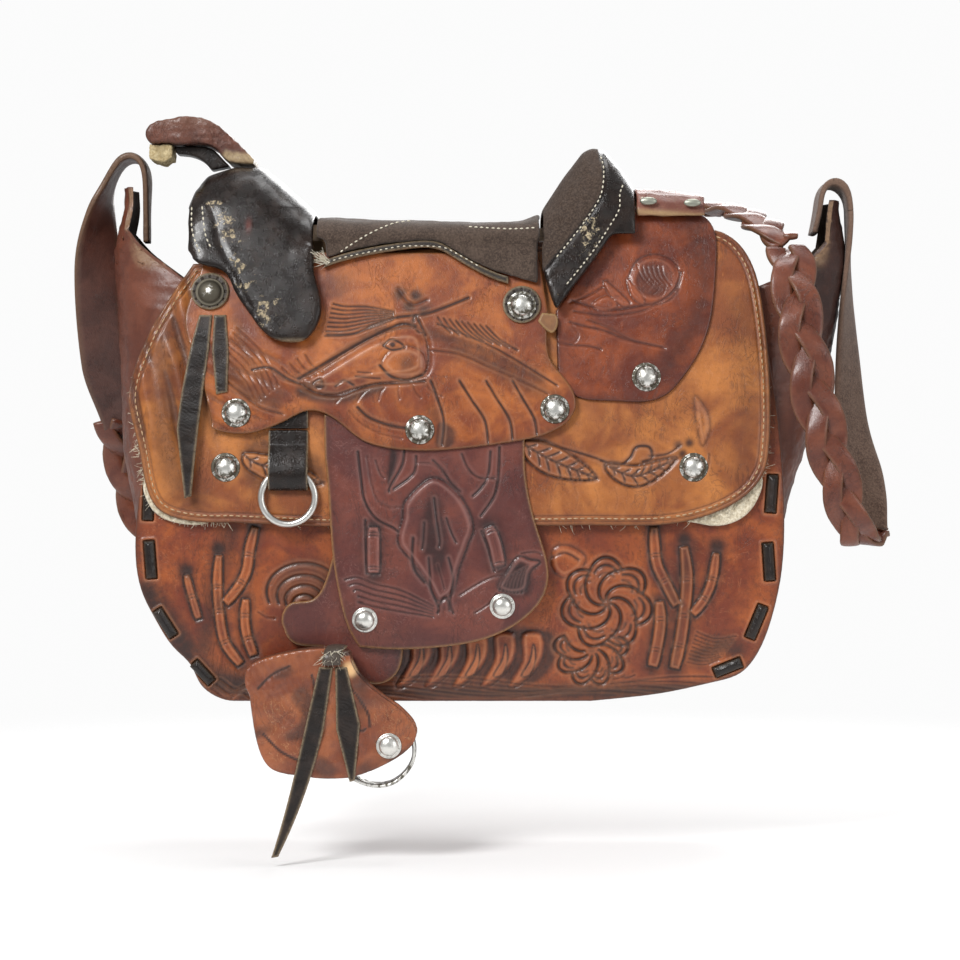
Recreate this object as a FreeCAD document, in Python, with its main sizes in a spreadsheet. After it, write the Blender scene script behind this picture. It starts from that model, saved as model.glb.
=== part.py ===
import FreeCAD, Part

import math
import os

from FreeCAD import Placement, Rotation, Vector

# A handbag made in the shape of a western saddle. Millimetres, +Z up, the front faces -Y and +X is to the
# right. The origin is the centre of the flat bottom that the bag stands on.
#
# The bag's front and back faces are arcs about the X axis, and every flat piece of leather on them is its
# outline cut out of a thin layer that follows that arc. A layer is named by what lies in it, and its depth
# is measured outward from the outer face of the bag's own panel.

SIZES = {
    # bag body
    "bulge_radius": 500,
    "bulge_middle": 90,
    "half_depth": 44,
    "panel_wall": 2.4,
    "gusset_wall": 2.2,
    "prism_depth": 100,
    "layer_length": 420,
    # layers, outward from the panel's outer face
    "panel_inner": -2.4,
    "panel_outer": 0,
    "lace_inner": 0.1,
    "lace_outer": 1.3,
    "fleece_inner": 1.5,
    "fleece_outer": 3.3,
    "stirrupstrap_inner": 2.5,
    "stirrupstrap_outer": 4.5,
    "skirt_inner": 3.5,
    "skirt_outer": 5.5,
    "fender_inner": 5.7,
    "fender_outer": 7.5,
    "jockey_inner": 7.7,
    "jockey_outer": 9.7,
    "string_inner": 9.9,
    "string_outer": 11.3,
    "binding_inner": 9.9,
    "binding_outer": 13.3,
    "seatlobe_inner": 9.9,
    "seatlobe_outer": 13.9,
    "roll_inner": 9.9,
    "roll_outer": 16.9,
    # saddle on top of the flap
    "hinge_y": 36,
    "hinge_z": 200,
    "flap_plate": 2,
    "cover_wall": 2.5,
    "tree_gap": 3.2,
    "cap_width": 24,
    "neck_width": 10,
    "foam_width": 18,
    # hardware
    "concho_radius": 6.5,
    "small_concho_radius": 5.7,
    "concho_rim": 1.2,
    "concho_crown": 3,
    "rosette_radius": 8.6,
    "rosette_wall": 1.8,
    "rivet_radius": 2.6,
    "ring_radius": 12.15,
    "ring_wire": 1.6,
    "snap_radius": 5,
    "stud_wall": 1.2,
    "socket_wall": 1.6,
    # stirrup
    "hood_width": 18,
    "hood_gap": 13,
    "hood_middle": -56,
    "tread_width": 12.4,
    "tail_wall": 1.2,
    # straps
    "strap_width": 22,
    "strap_wall": 2.6,
    "braid_wall": 7,
}

doc = FreeCAD.newDocument("saddle_bag")
sheet = doc.addObject("Spreadsheet::Sheet", "Sizes")
for row, (alias, value) in enumerate(SIZES.items(), start=1):
    sheet.set(f"A{row}", alias)
    sheet.set(f"B{row}", str(value))
    sheet.setAlias(f"B{row}", alias)
doc.recompute()

pieces = []


def size(alias):
    return float(sheet.get(alias))


def bind(thing, **properties):
    """Tie properties of a document object to formulas over the sheet's cells."""
    for name, formula in properties.items():
        thing.setExpression(name.replace("__", "."), formula)


def keep(thing, label):
    """Give a finished sub-part the label that names its file."""
    thing.Label = label
    pieces.append(thing)
    return thing


# ---- the bag's curved faces -------------------------------------------------------------------------------


def face_y(depth, z, side=-1):
    """Y of the surface that lies `depth` outside the panel's outer face; side -1 is the front, 1 the back."""
    radius = size("bulge_radius") + depth
    rise = math.sqrt(radius**2 - (z - size("bulge_middle")) ** 2)
    return side * (rise - size("bulge_radius") + size("half_depth"))


def face_turn(z, side=-1):
    """Rotation that turns +Z to point straight out of the bag's face at height z."""
    lean = math.degrees(math.asin((z - size("bulge_middle")) / size("bulge_radius")))
    return Rotation(Vector(1, 0, 0), -side * (90 - lean))


def arc_cylinder(name, depth_alias, side):
    solid = doc.addObject("Part::Cylinder", name)
    solid.Placement = Placement(Vector(-size("layer_length") / 2, 0, size("bulge_middle")),
                                Rotation(Vector(0, 1, 0), 90))
    sign = "-" if side > 0 else ""
    bind(solid, Radius=f"Sizes.bulge_radius + Sizes.{depth_alias}", Height="Sizes.layer_length")
    bind(solid, Placement__Base__y=f"{sign}1 * (Sizes.bulge_radius - Sizes.half_depth)")
    return solid


layer_tubes = {}


def layer(name, side):
    """The thin curved layer that pieces of one kind lie in, made once for each side of the bag."""
    key = f"{name}_{'front' if side < 0 else 'back'}"
    if key not in layer_tubes:
        tube = doc.addObject("Part::Cut", f"{key}_layer")
        tube.Base = arc_cylinder(f"{key}_outside", f"{name}_outer", side)
        tube.Tool = arc_cylinder(f"{key}_inside", f"{name}_inner", side)
        layer_tubes[key] = tube
    return layer_tubes[key]


# ---- sketches and bodies ----------------------------------------------------------------------------------


def sketch_on(body, plane, name, offset=0.0):
    """A sketch on one of the body's own origin planes, moved along that plane's normal."""
    sketch = body.newObject("Sketcher::SketchObject", name)
    support = [feature for feature in body.Origin.OriginFeatures if feature.Role == plane][0]
    sketch.AttachmentSupport = [(support, "")]
    sketch.MapMode = "FlatFace"
    sketch.AttachmentOffset = Placement(Vector(0, 0, offset), Rotation())
    return sketch


def draw(sketch, *runs):
    """A closed outline. Each run goes on from the last point of the run before, and may repeat that point:
    two points make a line and more make one smooth curve."""
    start = runs[-1][-1]
    for run in runs:
        points = [Vector(x, y, 0) for x, y in (start, *run[run[0] == start:])]
        if len(points) == 2:
            sketch.addGeometry(Part.LineSegment(*points))
        else:
            curve = Part.BSplineCurve()
            curve.interpolate(points)
            sketch.addGeometry(curve)
        start = run[-1]


def prism(name, *runs, length="prism_depth", middle=False, back=False):
    """An outline seen from the front, drawn in a new body and padded along Y."""
    body = doc.addObject("PartDesign::Body", name)
    sketch = sketch_on(body, "XZ_Plane", f"{name}_outline")
    draw(sketch, *runs)
    pad = body.newObject("PartDesign::Pad", f"{name}_pad")
    pad.Profile = sketch
    pad.Midplane = middle
    pad.Reversed = back
    bind(pad, Length=f"Sizes.{length}")
    return body


def on_face(name, layer_name, *runs, side=-1):
    """Leather that lies on the bag's face: an outline cut out of one of the curved layers."""
    leather = doc.addObject("Part::Common", name)
    leather.Base = prism(f"{name}_prism", *runs, back=side > 0)
    leather.Tool = layer(layer_name, side)
    return leather


def joined(name, *things):
    solid = doc.addObject("Part::MultiFuse", name)
    solid.Shapes = list(things)
    return solid


def group(name, things):
    """Separate solids of the same kind under one name."""
    compound = doc.addObject("Part::Compound", name)
    compound.Links = list(things)
    return compound


def below(points, drop):
    """The same points, moved down."""
    return [(x, z - drop) for x, z in points]


def slot_outline(x, z, length, width, turn):
    """The four corners of a short straight slot, turned from upright by `turn` degrees."""
    along = Rotation(Vector(0, 0, 1), turn)
    corners = [(side * width / 2, end * length / 2) for side, end in ((-1, -1), (1, -1), (1, 1), (-1, 1))]
    turned = [along.multVec(Vector(a, b, 0)) for a, b in corners]
    return [((x + point.x, z + point.y),) for point in turned]


# ---- bag body: panels, lace and gusset --------------------------------------------------------------------

FRONT_TOP, BACK_TOP = 197, 199.4


def panel_outline(top):
    return [
        [(-103.5, 0), (-113, 2.8), (-118.7, 7.8), (-123, 16.6), (-130, 24), (-139, 38), (-144, 48),
         (-147.4, 79),
         (-145, 101), (-138, 145), (-124, top)],
        [(134, top)],
        [(143, 145), (147, 105), (147.7, 83), (146.3, 57.5), (142.6, 39.6), (135.7, 21.6), (128.8, 13.3),
         (115.9, 8.7), (95.7, 4.2), (60, 0)],
        [(-103.5, 0)],
    ]


# where the edge lace shows on the panel: x, z, length and lean from upright
LACE_SLOTS = (
    (-141.6, 91.5, 17, -2),
    (-140.8, 65, 17, 4),
    (-134.3, 36, 14, 32),
    (-117.5, 13.2, 12, 42),
    (141.8, 95, 17, -4),
    (140.6, 64, 17, 4),
    (135.2, 36.5, 16, -22),
    (122.4, 15.6, 13, -68),
)
LACE_WIDTH = 4.6


def edge_lace(name, side):
    strips = []
    for number, (x, z, length, lean) in enumerate(LACE_SLOTS, start=1):
        corners = slot_outline(x, z, length, LACE_WIDTH, lean)
        strips.append(on_face(f"{name}_{number}", "lace", *corners, side=side))
    return keep(group(name, strips), name)


keep(on_face("front_panel", "panel", *panel_outline(FRONT_TOP)), "front_panel")
keep(on_face("back_panel", "panel", *panel_outline(BACK_TOP), side=1), "back_panel")
edge_lace("front_lace", -1)
edge_lace("back_lace", 1)

# Side of the gusset: height, x of the edge sewn to the panels, x of the middle, half depth. Above the panels
# it narrows to the ear that carries the strap.
GUSSET_RIGHT = (
    (50, 143.2, 144.2, None),
    (85, 145.6, 151.8, None),
    (114, 144.4, 157.3, None),
    (158, 139, 163.8, None),
    (190, 134, 169.6, None),
    (199, 150, 171.2, 27),
    (212, 165, 174.2, 17),
    (232, 174, 177.4, 11),
)
GUSSET_LEFT = (
    (50, -142.4, -143.4, None),
    (85, -145, -150, None),
    (114, -141.5, -153, None),
    (158, -133, -155, None),
    (190, -124.5, -156.6, None),
    (200, -135, -157.4, 27),
    (218, -154, -158.2, 14),
    (238, -155, -158, 11),
)
GUSSET_LIFT = 0.4


def gusset_side(name, stations):
    body = doc.addObject("PartDesign::Body", name)
    sections = []
    for number, (z, edge, middle, half) in enumerate(stations, start=1):
        half = half or -face_y(-size("panel_wall") - GUSSET_LIFT, z)
        wall = math.copysign(size("gusset_wall"), edge)
        sketch = sketch_on(body, "XY_Plane", f"{name}_{number}", offset=z)
        outer = Part.Arc(Vector(edge, -half, 0), Vector(middle, 0, 0), Vector(edge, half, 0))
        inner = Part.Arc(Vector(edge - wall, half, 0), Vector(middle - wall, 0, 0),
                         Vector(edge - wall, -half, 0))
        sketch.addGeometry(outer)
        sketch.addGeometry(Part.LineSegment(Vector(edge, half, 0), Vector(edge - wall, half, 0)))
        sketch.addGeometry(inner)
        sketch.addGeometry(Part.LineSegment(Vector(edge - wall, -half, 0), Vector(edge, -half, 0)))
        sections.append(sketch)
    loft = body.newObject("PartDesign::AdditiveLoft", f"{name}_loft")
    loft.Profile = sections[0]
    loft.Sections = sections[1:]
    loft.Ruled = True
    return body


def gusset_bottom():
    """The strip that runs under the bag and turns up at both corners, as deep as the panels allow."""
    wall = size("gusset_wall")
    outside = [(-143.4, 52), (-139, 39.5), (-130, 26), (-119, 12), (-108, 3.4), (-99, 0.5), (-92, 0),
    (58, 0),
               (78, 2.2), (98, 5.4), (117, 10.4), (128, 15), (137, 28), (142.6, 44), (144.2, 52)]
    inside = [(x * (1 - wall / 140), z + wall * (1 - z / 52)) for x, z in outside]
    strip = prism("gusset_strip", outside[1:6], [outside[6]], [outside[7]], outside[8:], [inside[-1]],
                  inside[-2:6:-1], [inside[6]], [inside[5]], inside[4::-1], [outside[0]], middle=True)
    limits = doc.addObject("Part::MultiCommon", "gusset_limits")
    limits.Shapes = [strip, gusset_limit(-1), gusset_limit(1)]
    return limits


def gusset_limit(side):
    return arc_cylinder(f"gusset_limit_{'front' if side < 0 else 'back'}", "panel_inner", side)


keep(joined("gusset", gusset_bottom(), gusset_side("gusset_right", GUSSET_RIGHT),
            gusset_side("gusset_left", GUSSET_LEFT)), "gusset")


# ---- flap: skirt, fleece and jockeys ----------------------------------------------------------------------

SKIRT_OUTLINE = [
    [(-122, 200), (-130, 188), (-139, 173), (-148, 151), (-150.4, 138), (-148.6, 128), (-145, 113.6),
     (-142.3, 99.4),
     (-137.5, 89), (-125.6, 83.3), (-104, 82)],
    [(-60, 80)],
    [(46, 80.5)],
    [(81, 80.5), (101.7, 82.3), (116, 86.5), (130.6, 95), (138, 105), (140.3, 117), (140.8, 147),
     (138, 181),
     (133, 201.5), (127.4, 210), (117, 216)],
    [(-122, 200)],
]
FLEECE_OUTLINE = [
    [(-119, 196), (-131, 184), (-141, 165), (-150, 142), (-149.6, 125), (-144.4, 100), (-137, 87.5),
     (-124, 81.8),
     (-104, 80.4)],
    [(-60, 78.6)],
    [(46, 79)],
    [(81, 79), (103, 80.8), (118, 85), (132, 94), (138.8, 105), (140, 118), (139.5, 147), (136, 181),
     (131, 196)],
    [(-119, 196)],
]
JOCKEY_TOP = 205
JOCKEY_FRONT = [
    [(-117, JOCKEY_TOP), (-120, 191), (-124, 179), (-124.7, 171.6), (-122, 162), (-117, 147),
     (-112, 124.7)],
    [(-103.5, 122.4), (-95, 122.4), (-86.5, 124.7), (-77, 129), (-69, 132.5), (-61.6, 131.6), (-54, 127),
     (-44.6, 119.6), (-31, 115.5), (-14.7, 114.5), (5.5, 116), (25, 118.7), (41.4, 123), (49, 128),
     (52.4, 134)],
    [(52, 139.4), (45.5, 149.5), (40.5, 157), (39.4, 164), (40, 179)],
    [(36, JOCKEY_TOP)],
    [(-117, JOCKEY_TOP)],
]
JOCKEY_REAR = [
    [(43.7, 178), (75.4, 223.6)],
    [(77, 227)],
    [(108, 224)],
    [(115, 219), (117.3, 212), (117.3, 202), (116, 187), (113.6, 172), (107.6, 157), (100.7, 147),
     (93.8, 140),
     (86, 137), (70.8, 137), (52, 139.4), (44.5, 148)],
    [(43.7, 178)],
]
JOCKEY_REAR_BACK = [
    [(48, 184), (61, 199)],
    [(116.6, 199)],
    [(116, 187), (113.6, 172), (107.6, 157), (100.7, 147), (93.8, 140), (86, 137), (70.8, 137),
     (56, 139.4)],
    [(48, 148)],
    [(48, 184)],
]
BACK_SKIRT_TOP = 199
SKIRT_BACK = [
    [(-122, BACK_SKIRT_TOP), (-130, 188), (-139, 173), (-148, 151), (-150.4, 138), (-148.6, 128),
     (-145, 113.6),
     (-142.3, 99.4), (-137.5, 89), (-125.6, 83.3), (-104, 82)],
    [(-60, 80)],
    [(46, 80.5)],
    [(81, 80.5), (101.7, 82.3), (116, 86.5), (130.6, 95), (138, 105), (140.3, 117), (140.8, 147),
     (138, 181),
     (134, BACK_SKIRT_TOP)],
    [(-122, BACK_SKIRT_TOP)],
]
JOCKEY_FRONT_BACK = [
    [(-117, BACK_SKIRT_TOP), (-124, 179), (-124.7, 171.6), (-122, 162), (-117, 147), (-112, 124.7)],
    JOCKEY_FRONT[1],
    [(52, 139.4), (45.5, 149.5), (40.5, 157), (39.4, 164), (40, 179)],
    [(36, BACK_SKIRT_TOP)],
    [(-117, BACK_SKIRT_TOP)],
]


SNAP_HEIGHT = 98


def snap_hole():
    """The round opening in the fleece that the snap closes through."""
    hole = doc.addObject("Part::Cylinder", "fleece_hole")
    hole.Placement = Placement(Vector(0, 0, SNAP_HEIGHT), Rotation(Vector(1, 0, 0), 90))
    bind(hole, Radius="Sizes.snap_radius + 2", Height="Sizes.prism_depth")
    return hole


flap_plate = doc.addObject("Part::Box", "flap_plate")
FLAP_LEFT, FLAP_RIGHT = -118, 116
FLAP_LIFT = 0.2
flap_front = face_y(size("skirt_inner") + 1, size("hinge_z"))
flap_plate.Placement = Placement(Vector(FLAP_LEFT, flap_front, size("hinge_z") + FLAP_LIFT), Rotation())
flap_plate.Length = FLAP_RIGHT - FLAP_LEFT
bind(flap_plate, Width=f"Sizes.hinge_y - 1 + {-flap_front}", Height="Sizes.flap_plate")
keep(joined("skirt", on_face("skirt_front", "skirt", *SKIRT_OUTLINE), flap_plate), "skirt")

fleece = doc.addObject("Part::Cut", "skirt_fleece")
fleece.Base = on_face("fleece_sheet", "fleece", *FLEECE_OUTLINE)
fleece.Tool = snap_hole()
keep(fleece, "skirt_fleece")

keep(on_face("front_jockey", "jockey", *JOCKEY_FRONT), "front_jockey")
keep(on_face("rear_jockey", "fender", *JOCKEY_REAR), "rear_jockey")
keep(on_face("back_skirt", "skirt", *SKIRT_BACK, side=1), "back_skirt")
keep(on_face("back_front_jockey", "jockey", *JOCKEY_FRONT_BACK, side=1), "back_front_jockey")
keep(on_face("back_rear_jockey", "fender", *JOCKEY_REAR_BACK, side=1), "back_rear_jockey")


def snap_half(name, wall, depth):
    """A flat round half of the snap that stands on the surface `depth` outside the panel."""
    disc = doc.addObject("Part::Cylinder", name)
    disc.Placement = Placement(Vector(0, face_y(depth, SNAP_HEIGHT), SNAP_HEIGHT), face_turn(SNAP_HEIGHT))
    bind(disc, Radius="Sizes.snap_radius", Height=f"Sizes.{wall}")
    return keep(disc, name)


snap_half("snap_stud", "stud_wall", 0.1)
snap_half("snap_socket", "socket_wall", 1.7)


# ---- saddle on the flap: tree, seat, swell and cantle -----------------------------------------------------

ARCH_ANGLES = (0, 22, 55, 90, 125, 158, 180)
ARCH_FLATNESS = 0.75
BACK_FOOT = 203.4


def arch_points(front, back, foot, crown, inset=0.0):
    """Points over the saddle from its back foot to its front foot, in the plane across the saddle."""
    middle = (front + back) / 2
    reach = (back - front) / 2 - inset
    points = []
    for angle in ARCH_ANGLES:
        across = math.cos(math.radians(angle))
        up = math.sin(math.radians(angle))
        low = BACK_FOOT if angle < 90 else foot
        y = middle + reach * math.copysign(abs(across) ** ARCH_FLATNESS, across)
        points.append((y, low + (crown - inset - low) * abs(up) ** ARCH_FLATNESS))
    return points


def arch(name, stations, hollow=True):
    """A loft of arches across the saddle. A station is x, front y, front foot and crown height."""
    body = doc.addObject("PartDesign::Body", name)
    sections = []
    for number, (x, front, foot, crown) in enumerate(stations, start=1):
        back = size("hinge_y") - 2
        sketch = sketch_on(body, "YZ_Plane", f"{name}_{number}", offset=x)
        outside = arch_points(front, back, foot, crown)
        if hollow:
            inside = arch_points(front, back, foot, crown, size("cover_wall"))[::-1]
            draw(sketch, outside[1:], [inside[0]], inside[1:], [outside[0]])
        else:
            draw(sketch, outside[1:], [outside[0]])
        sections.append(sketch)
    loft = body.newObject("PartDesign::AdditiveLoft", f"{name}_loft")
    loft.Profile = sections[0]
    loft.Sections = sections[1:]
    loft.Ruled = True
    return body


# crown of the saddle along its length
SWELL_CROWN = ((-125.6, 228), (-122, 237), (-117, 243), (-104, 247.4), (-91.5, 247), (-83, 240), (-75, 233),
               (-66.2, 224.6))
SEAT_CROWN = ((-65.8, 223.4), (-34, 222), (4, 221), (28, 221.4), (37, 225))
CANTLE_CROWN = ((37.6, 226), (48, 242), (57, 254), (61.6, 256), (67, 255), (75, 245), (80, 237.5))
REAR_CROWN = ((80.6, 237), (97, 236), (112, 234))
TREE_CROWN = ((-118, 240), (-104, 247.4), (-91.5, 247), (-83, 240), (-70, 226), (-34, 222), (4, 221),
              (28, 221.4),
              (40, 225), (57, 251), (67, 252), (77, 240), (84, 236), (109, 234))
COVER_FRONT = -45
SWELL_FOOT, SEAT_FOOT, CANTLE_FOOT, REAR_FOOT = 203.4, 210.4, 213, 222
REAR_FRONT = -39.5
TREE_FRONT, TREE_BACK, TREE_BEVEL = -29, 24, 14
TREE_FOOT = 202.6


def stations(crowns, front, foot, drop=0.0):
    return [(x, front, foot, crown - drop) for x, crown in crowns]


tree = doc.addObject("PartDesign::Body", "saddle_tree")
tree_sections = []
for number, (x, crown) in enumerate(TREE_CROWN, start=1):
    section = sketch_on(tree, "YZ_Plane", f"tree_{number}", offset=x)
    top = crown - size("cover_wall") - size("tree_gap")
    shoulder = TREE_FOOT + (top - TREE_FOOT) / 2
    draw(section, [(TREE_BACK, shoulder)], [(TREE_BACK - TREE_BEVEL, top)], [(TREE_FRONT + TREE_BEVEL, top)],
         [(TREE_FRONT, shoulder)], [(TREE_FRONT, TREE_FOOT)], [(TREE_BACK, TREE_FOOT)])
    tree_sections.append(section)
tree_loft = tree.newObject("PartDesign::AdditiveLoft", "tree_loft")
tree_loft.Profile = tree_sections[0]
tree_loft.Sections = tree_sections[1:]
tree_loft.Ruled = True
keep(tree, "saddle_tree")

SWELL_LOBE = [
    [(-123, 206), (-117, 198.7), (-106.7, 195.5), (-102, 187), (-94, 175), (-86, 166), (-77.7, 163.3),
     (-70.4, 164),
     (-65, 170), (-62.6, 177.6), (-63.6, 187), (-66.2, 197)],
    [(-66.2, 208)],
    [(-123, 208)],
    [(-123, 206)],
]
keep(joined("swell_cover", arch("swell_arch", stations(SWELL_CROWN, COVER_FRONT, SWELL_FOOT)),
            on_face("swell_lobe", "roll", *SWELL_LOBE)), "swell_cover")

# the seat's lower edge at the front, from the swell to the cantle, and the black binding sewn along it
SEAT_EDGE = [(-61.4, 198), (-54, 200.6), (-34, 205), (-24, 206.5), (-9, 206), (-2, 202), (11, 194.6),
             (22, 190.4)]
BINDING_WIDTH = 3.2
LOBE_TOP = 215
SEAT_LOBE = below(SEAT_EDGE, -BINDING_WIDTH - 0.2)
keep(joined("seat_cover", arch("seat_arch", stations(SEAT_CROWN, COVER_FRONT, SEAT_FOOT)),
            on_face("seat_lobe", "seatlobe", SEAT_LOBE[1:], [(36, 190)], [(36, LOBE_TOP)],
                    [(SEAT_LOBE[0][0], LOBE_TOP)], [SEAT_LOBE[0]])), "seat_cover")
BINDING_TOP = below(SEAT_EDGE, -BINDING_WIDTH)[::-1]
keep(on_face("seat_binding", "binding", SEAT_EDGE[1:], [BINDING_TOP[0]], BINDING_TOP[1:], [SEAT_EDGE[0]]),
     "seat_binding")

CANTLE_LOBE = [
    [(43.6, 177.6), (54, 192), (66, 208), (75.4, 223.6)],
    [(42, 223)],
    [(37.4, 208)],
    [(37.4, 196)],
    [(43.6, 177.6)],
]
keep(joined("cantle_cover", arch("cantle_arch", stations(CANTLE_CROWN, COVER_FRONT, CANTLE_FOOT)),
            on_face("cantle_lobe", "roll", *CANTLE_LOBE)), "cantle_cover")
keep(arch("rear_band", stations(REAR_CROWN, REAR_FRONT, REAR_FOOT)), "rear_band")

# ---- horn -------------------------------------------------------------------------------------------------

SADDLE_MIDDLE = (COVER_FRONT + size("hinge_y") - 2) / 2


def slab(name, width, *runs):
    """An outline seen from the front, padded to both sides of the saddle's middle line."""
    body = prism(name, *runs, length=width, middle=True)
    body.Placement = Placement(Vector(0, SADDLE_MIDDLE, 0), Rotation())
    return body


horn_cover = slab(
    "horn_cover", "cap_width",
    [(-146.3, 262.7), (-143.5, 267), (-133, 269.6), (-125, 270.5), (-117.8, 269), (-111, 265),
     (-102.6, 257),
     (-95.7, 250.4)],
    [(-96, 247.9)],
    [(-102.6, 248.6), (-108.4, 249.8), (-112.4, 254), (-115, 256.4), (-123, 257.6), (-134, 257.8),
     (-142, 257.8)],
)
keep(horn_cover, "horn_cover")
keep(slab("horn_neck", "neck_width", [(-123, 257.2), (-115.4, 255.6), (-112.6, 253), (-109, 249.2)],
          [(-107.6, 247.8)], [(-116.6, 246)], [(-120.5, 250.4), (-127, 253),
           (-132.6, 253.4)], [(-134, 257.4)]),
     "horn_neck")
keep(slab("horn_pad", "foam_width", [(-144.6, 257.4)], [(-145, 251)], [(-139, 249)], [(-134.4, 251.4)],
          [(-134.4, 257.4)]), "horn_pad")


# ---- conchos and rosettes ---------------------------------------------------------------------------------


def concho(name, x, z, depth, radius="concho_radius", side=-1):
    """A domed silver button: a thin round rim with half an ellipsoid on it."""
    at = Placement(Vector(x, face_y(depth, z, side), z), face_turn(z, side))
    rim = doc.addObject("Part::Cylinder", f"{name}_rim")
    rim.Placement = at
    bind(rim, Radius=f"Sizes.{radius}", Height="Sizes.concho_rim")
    dome = doc.addObject("Part::Ellipsoid", f"{name}_dome")
    dome.Angle1 = 0
    dome.Placement = at.multiply(Placement(Vector(0, 0, size("concho_rim") / 2), Rotation()))
    bind(dome, Radius1="Sizes.concho_crown", Radius2=f"Sizes.{radius} - 0.6", Radius3=f"Sizes.{radius} - 0.6")
    return joined(name, rim, dome)


def conchos(name, places, depth, radius="concho_radius", side=-1):
    buttons = [concho(f"{name}_{i}", x, z, depth, radius, side) for i, (x, z) in enumerate(places, start=1)]
    return keep(group(name, buttons), name)


def rosette(name, x, z, depth):
    """The round leather washer under a concho."""
    disc = doc.addObject("Part::Cylinder", name)
    disc.Placement = Placement(Vector(x, face_y(depth, z), z), face_turn(z))
    bind(disc, Radius="Sizes.rosette_radius", Height="Sizes.rosette_wall")
    return keep(disc, name)


GAP = 0.1
SKIRT_FACE = size("skirt_outer") + GAP
FENDER_FACE = size("fender_outer") + GAP
JOCKEY_FACE = size("jockey_outer") + GAP
SKIRT_CONCHOS = [(-106, 107), (106, 107)]
JOCKEY_CONCHOS = [(-101, 131.6), (-18, 124), (43, 133.4)]
REAR_CONCHO = [(84.6, 148)]
STRING_ROSETTE = (-113.4, 186.6)
SEAT_ROSETTE = (28.2, 180.6)

conchos("skirt_conchos", SKIRT_CONCHOS, SKIRT_FACE)
conchos("front_jockey_conchos", JOCKEY_CONCHOS, JOCKEY_FACE)
conchos("rear_jockey_concho", REAR_CONCHO, FENDER_FACE)
conchos("back_skirt_conchos", SKIRT_CONCHOS, SKIRT_FACE, side=1)
conchos("back_jockey_conchos", JOCKEY_CONCHOS, JOCKEY_FACE, side=1)
for prefix, (x, z) in (("string", STRING_ROSETTE), ("seat", SEAT_ROSETTE)):
    rosette(f"{prefix}_rosette", x, z, JOCKEY_FACE)
    conchos(f"{prefix}_concho", [(x, z)], JOCKEY_FACE + size("rosette_wall") + GAP)

RIVETS = ((86, 228.4), (106, 227.6))
rivets = []
for number, (x, z) in enumerate(RIVETS, start=1):
    rivet = doc.addObject("Part::Ellipsoid", f"rivet_{number}")
    rivet.Placement = Placement(Vector(x, REAR_FRONT - 1.3, z), Rotation())
    bind(rivet, Radius1="Sizes.rivet_radius * 0.7", Radius2="Sizes.rivet_radius * 1.5",
         Radius3="Sizes.concho_rim")
    rivets.append(rivet)
keep(group("rear_band_rivets", rivets), "rear_band_rivets")

keep(on_face("seat_thong", "string", [(38.4, 170), (42, 168), (44.4, 172), (43.2, 176.4)],
             [(37.4, 177)], [(35.6, 173.4)]), "seat_thong")

# ---- saddle strings, cinch strap and ring -----------------------------------------------------------------

STRING_LONG = [[(-122, 160), (-127.6, 124)], [(-124, 93)], [(-121, 94)], [(-118, 124), (-113.6, 160)],
               [(-112.4, 176)], [(-118, 176)]]
STRING_SHORT = [[(-112, 160)], [(-110, 140)], [(-105, 141)], [(-104.6, 160)], [(-106, 176)],
                [(-111.4, 176)]]
keep(group("saddle_strings", [on_face("string_long", "string", *STRING_LONG),
                              on_face("string_short", "string", *STRING_SHORT)]), "saddle_strings")

CINCH_LEFT, CINCH_RIGHT = -86.5, -68.5
CINCH_HINGE, CINCH_TOP = 124, 146
RING_CENTRE = (-77.5, 93.4)


def upright(left, right, low, high):
    """The outline of a plain straight strip."""
    return [[(left, low)], [(right, low)], [(right, high)], [(left, high)]]


keep(on_face("cinch_strap_top", "fender", *upright(CINCH_LEFT, CINCH_RIGHT, CINCH_HINGE + 0.4, CINCH_TOP)),
     "cinch_strap_top")

# side view of the cinch strap: down from its hinge, round the ring's wire and back up
ring_top = RING_CENTRE[1] + size("ring_radius")
strap_back = face_y(size("fender_inner"), ring_top)
strap_front = face_y(size("fender_outer"), CINCH_HINGE)
ring_y = strap_back - 3
loop_room = size("ring_wire") + 0.3
cinch_strap = doc.addObject("PartDesign::Body", "cinch_strap")
side_view = sketch_on(cinch_strap, "YZ_Plane", "cinch_side", offset=CINCH_LEFT)
draw(side_view, [(face_y(size("fender_inner"), CINCH_HINGE), CINCH_HINGE - 0.2)],
     [(strap_front, CINCH_HINGE - 0.2)], [(strap_front - 0.6, 117)],
     [(ring_y - 3.4, 107), (ring_y - 3.6, 102), (ring_y, 96.4), (strap_back, 101)],
     [(strap_back, ring_top)])
hole = [(ring_y, ring_top + loop_room), (ring_y - loop_room, ring_top), (ring_y - loop_room, 101.6),
        (ring_y, 98.4), (ring_y + loop_room, 101.6), (ring_y + loop_room, ring_top),
        (ring_y, ring_top + loop_room)]
draw(side_view, hole[1:])
cinch_pad = cinch_strap.newObject("PartDesign::Pad", "cinch_pad")
cinch_pad.Profile = side_view
cinch_pad.Length = CINCH_RIGHT - CINCH_LEFT
keep(cinch_strap, "cinch_strap")

cinch_ring = doc.addObject("Part::Torus", "cinch_ring")
ring_middle = Vector(RING_CENTRE[0], ring_y, RING_CENTRE[1])
cinch_ring.Placement = Placement(ring_middle, Rotation(Vector(1, 0, 0), 90))
bind(cinch_ring, Radius1="Sizes.ring_radius", Radius2="Sizes.ring_wire")
keep(cinch_ring, "cinch_ring")

# ---- fender and stirrup -----------------------------------------------------------------------------------

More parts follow.
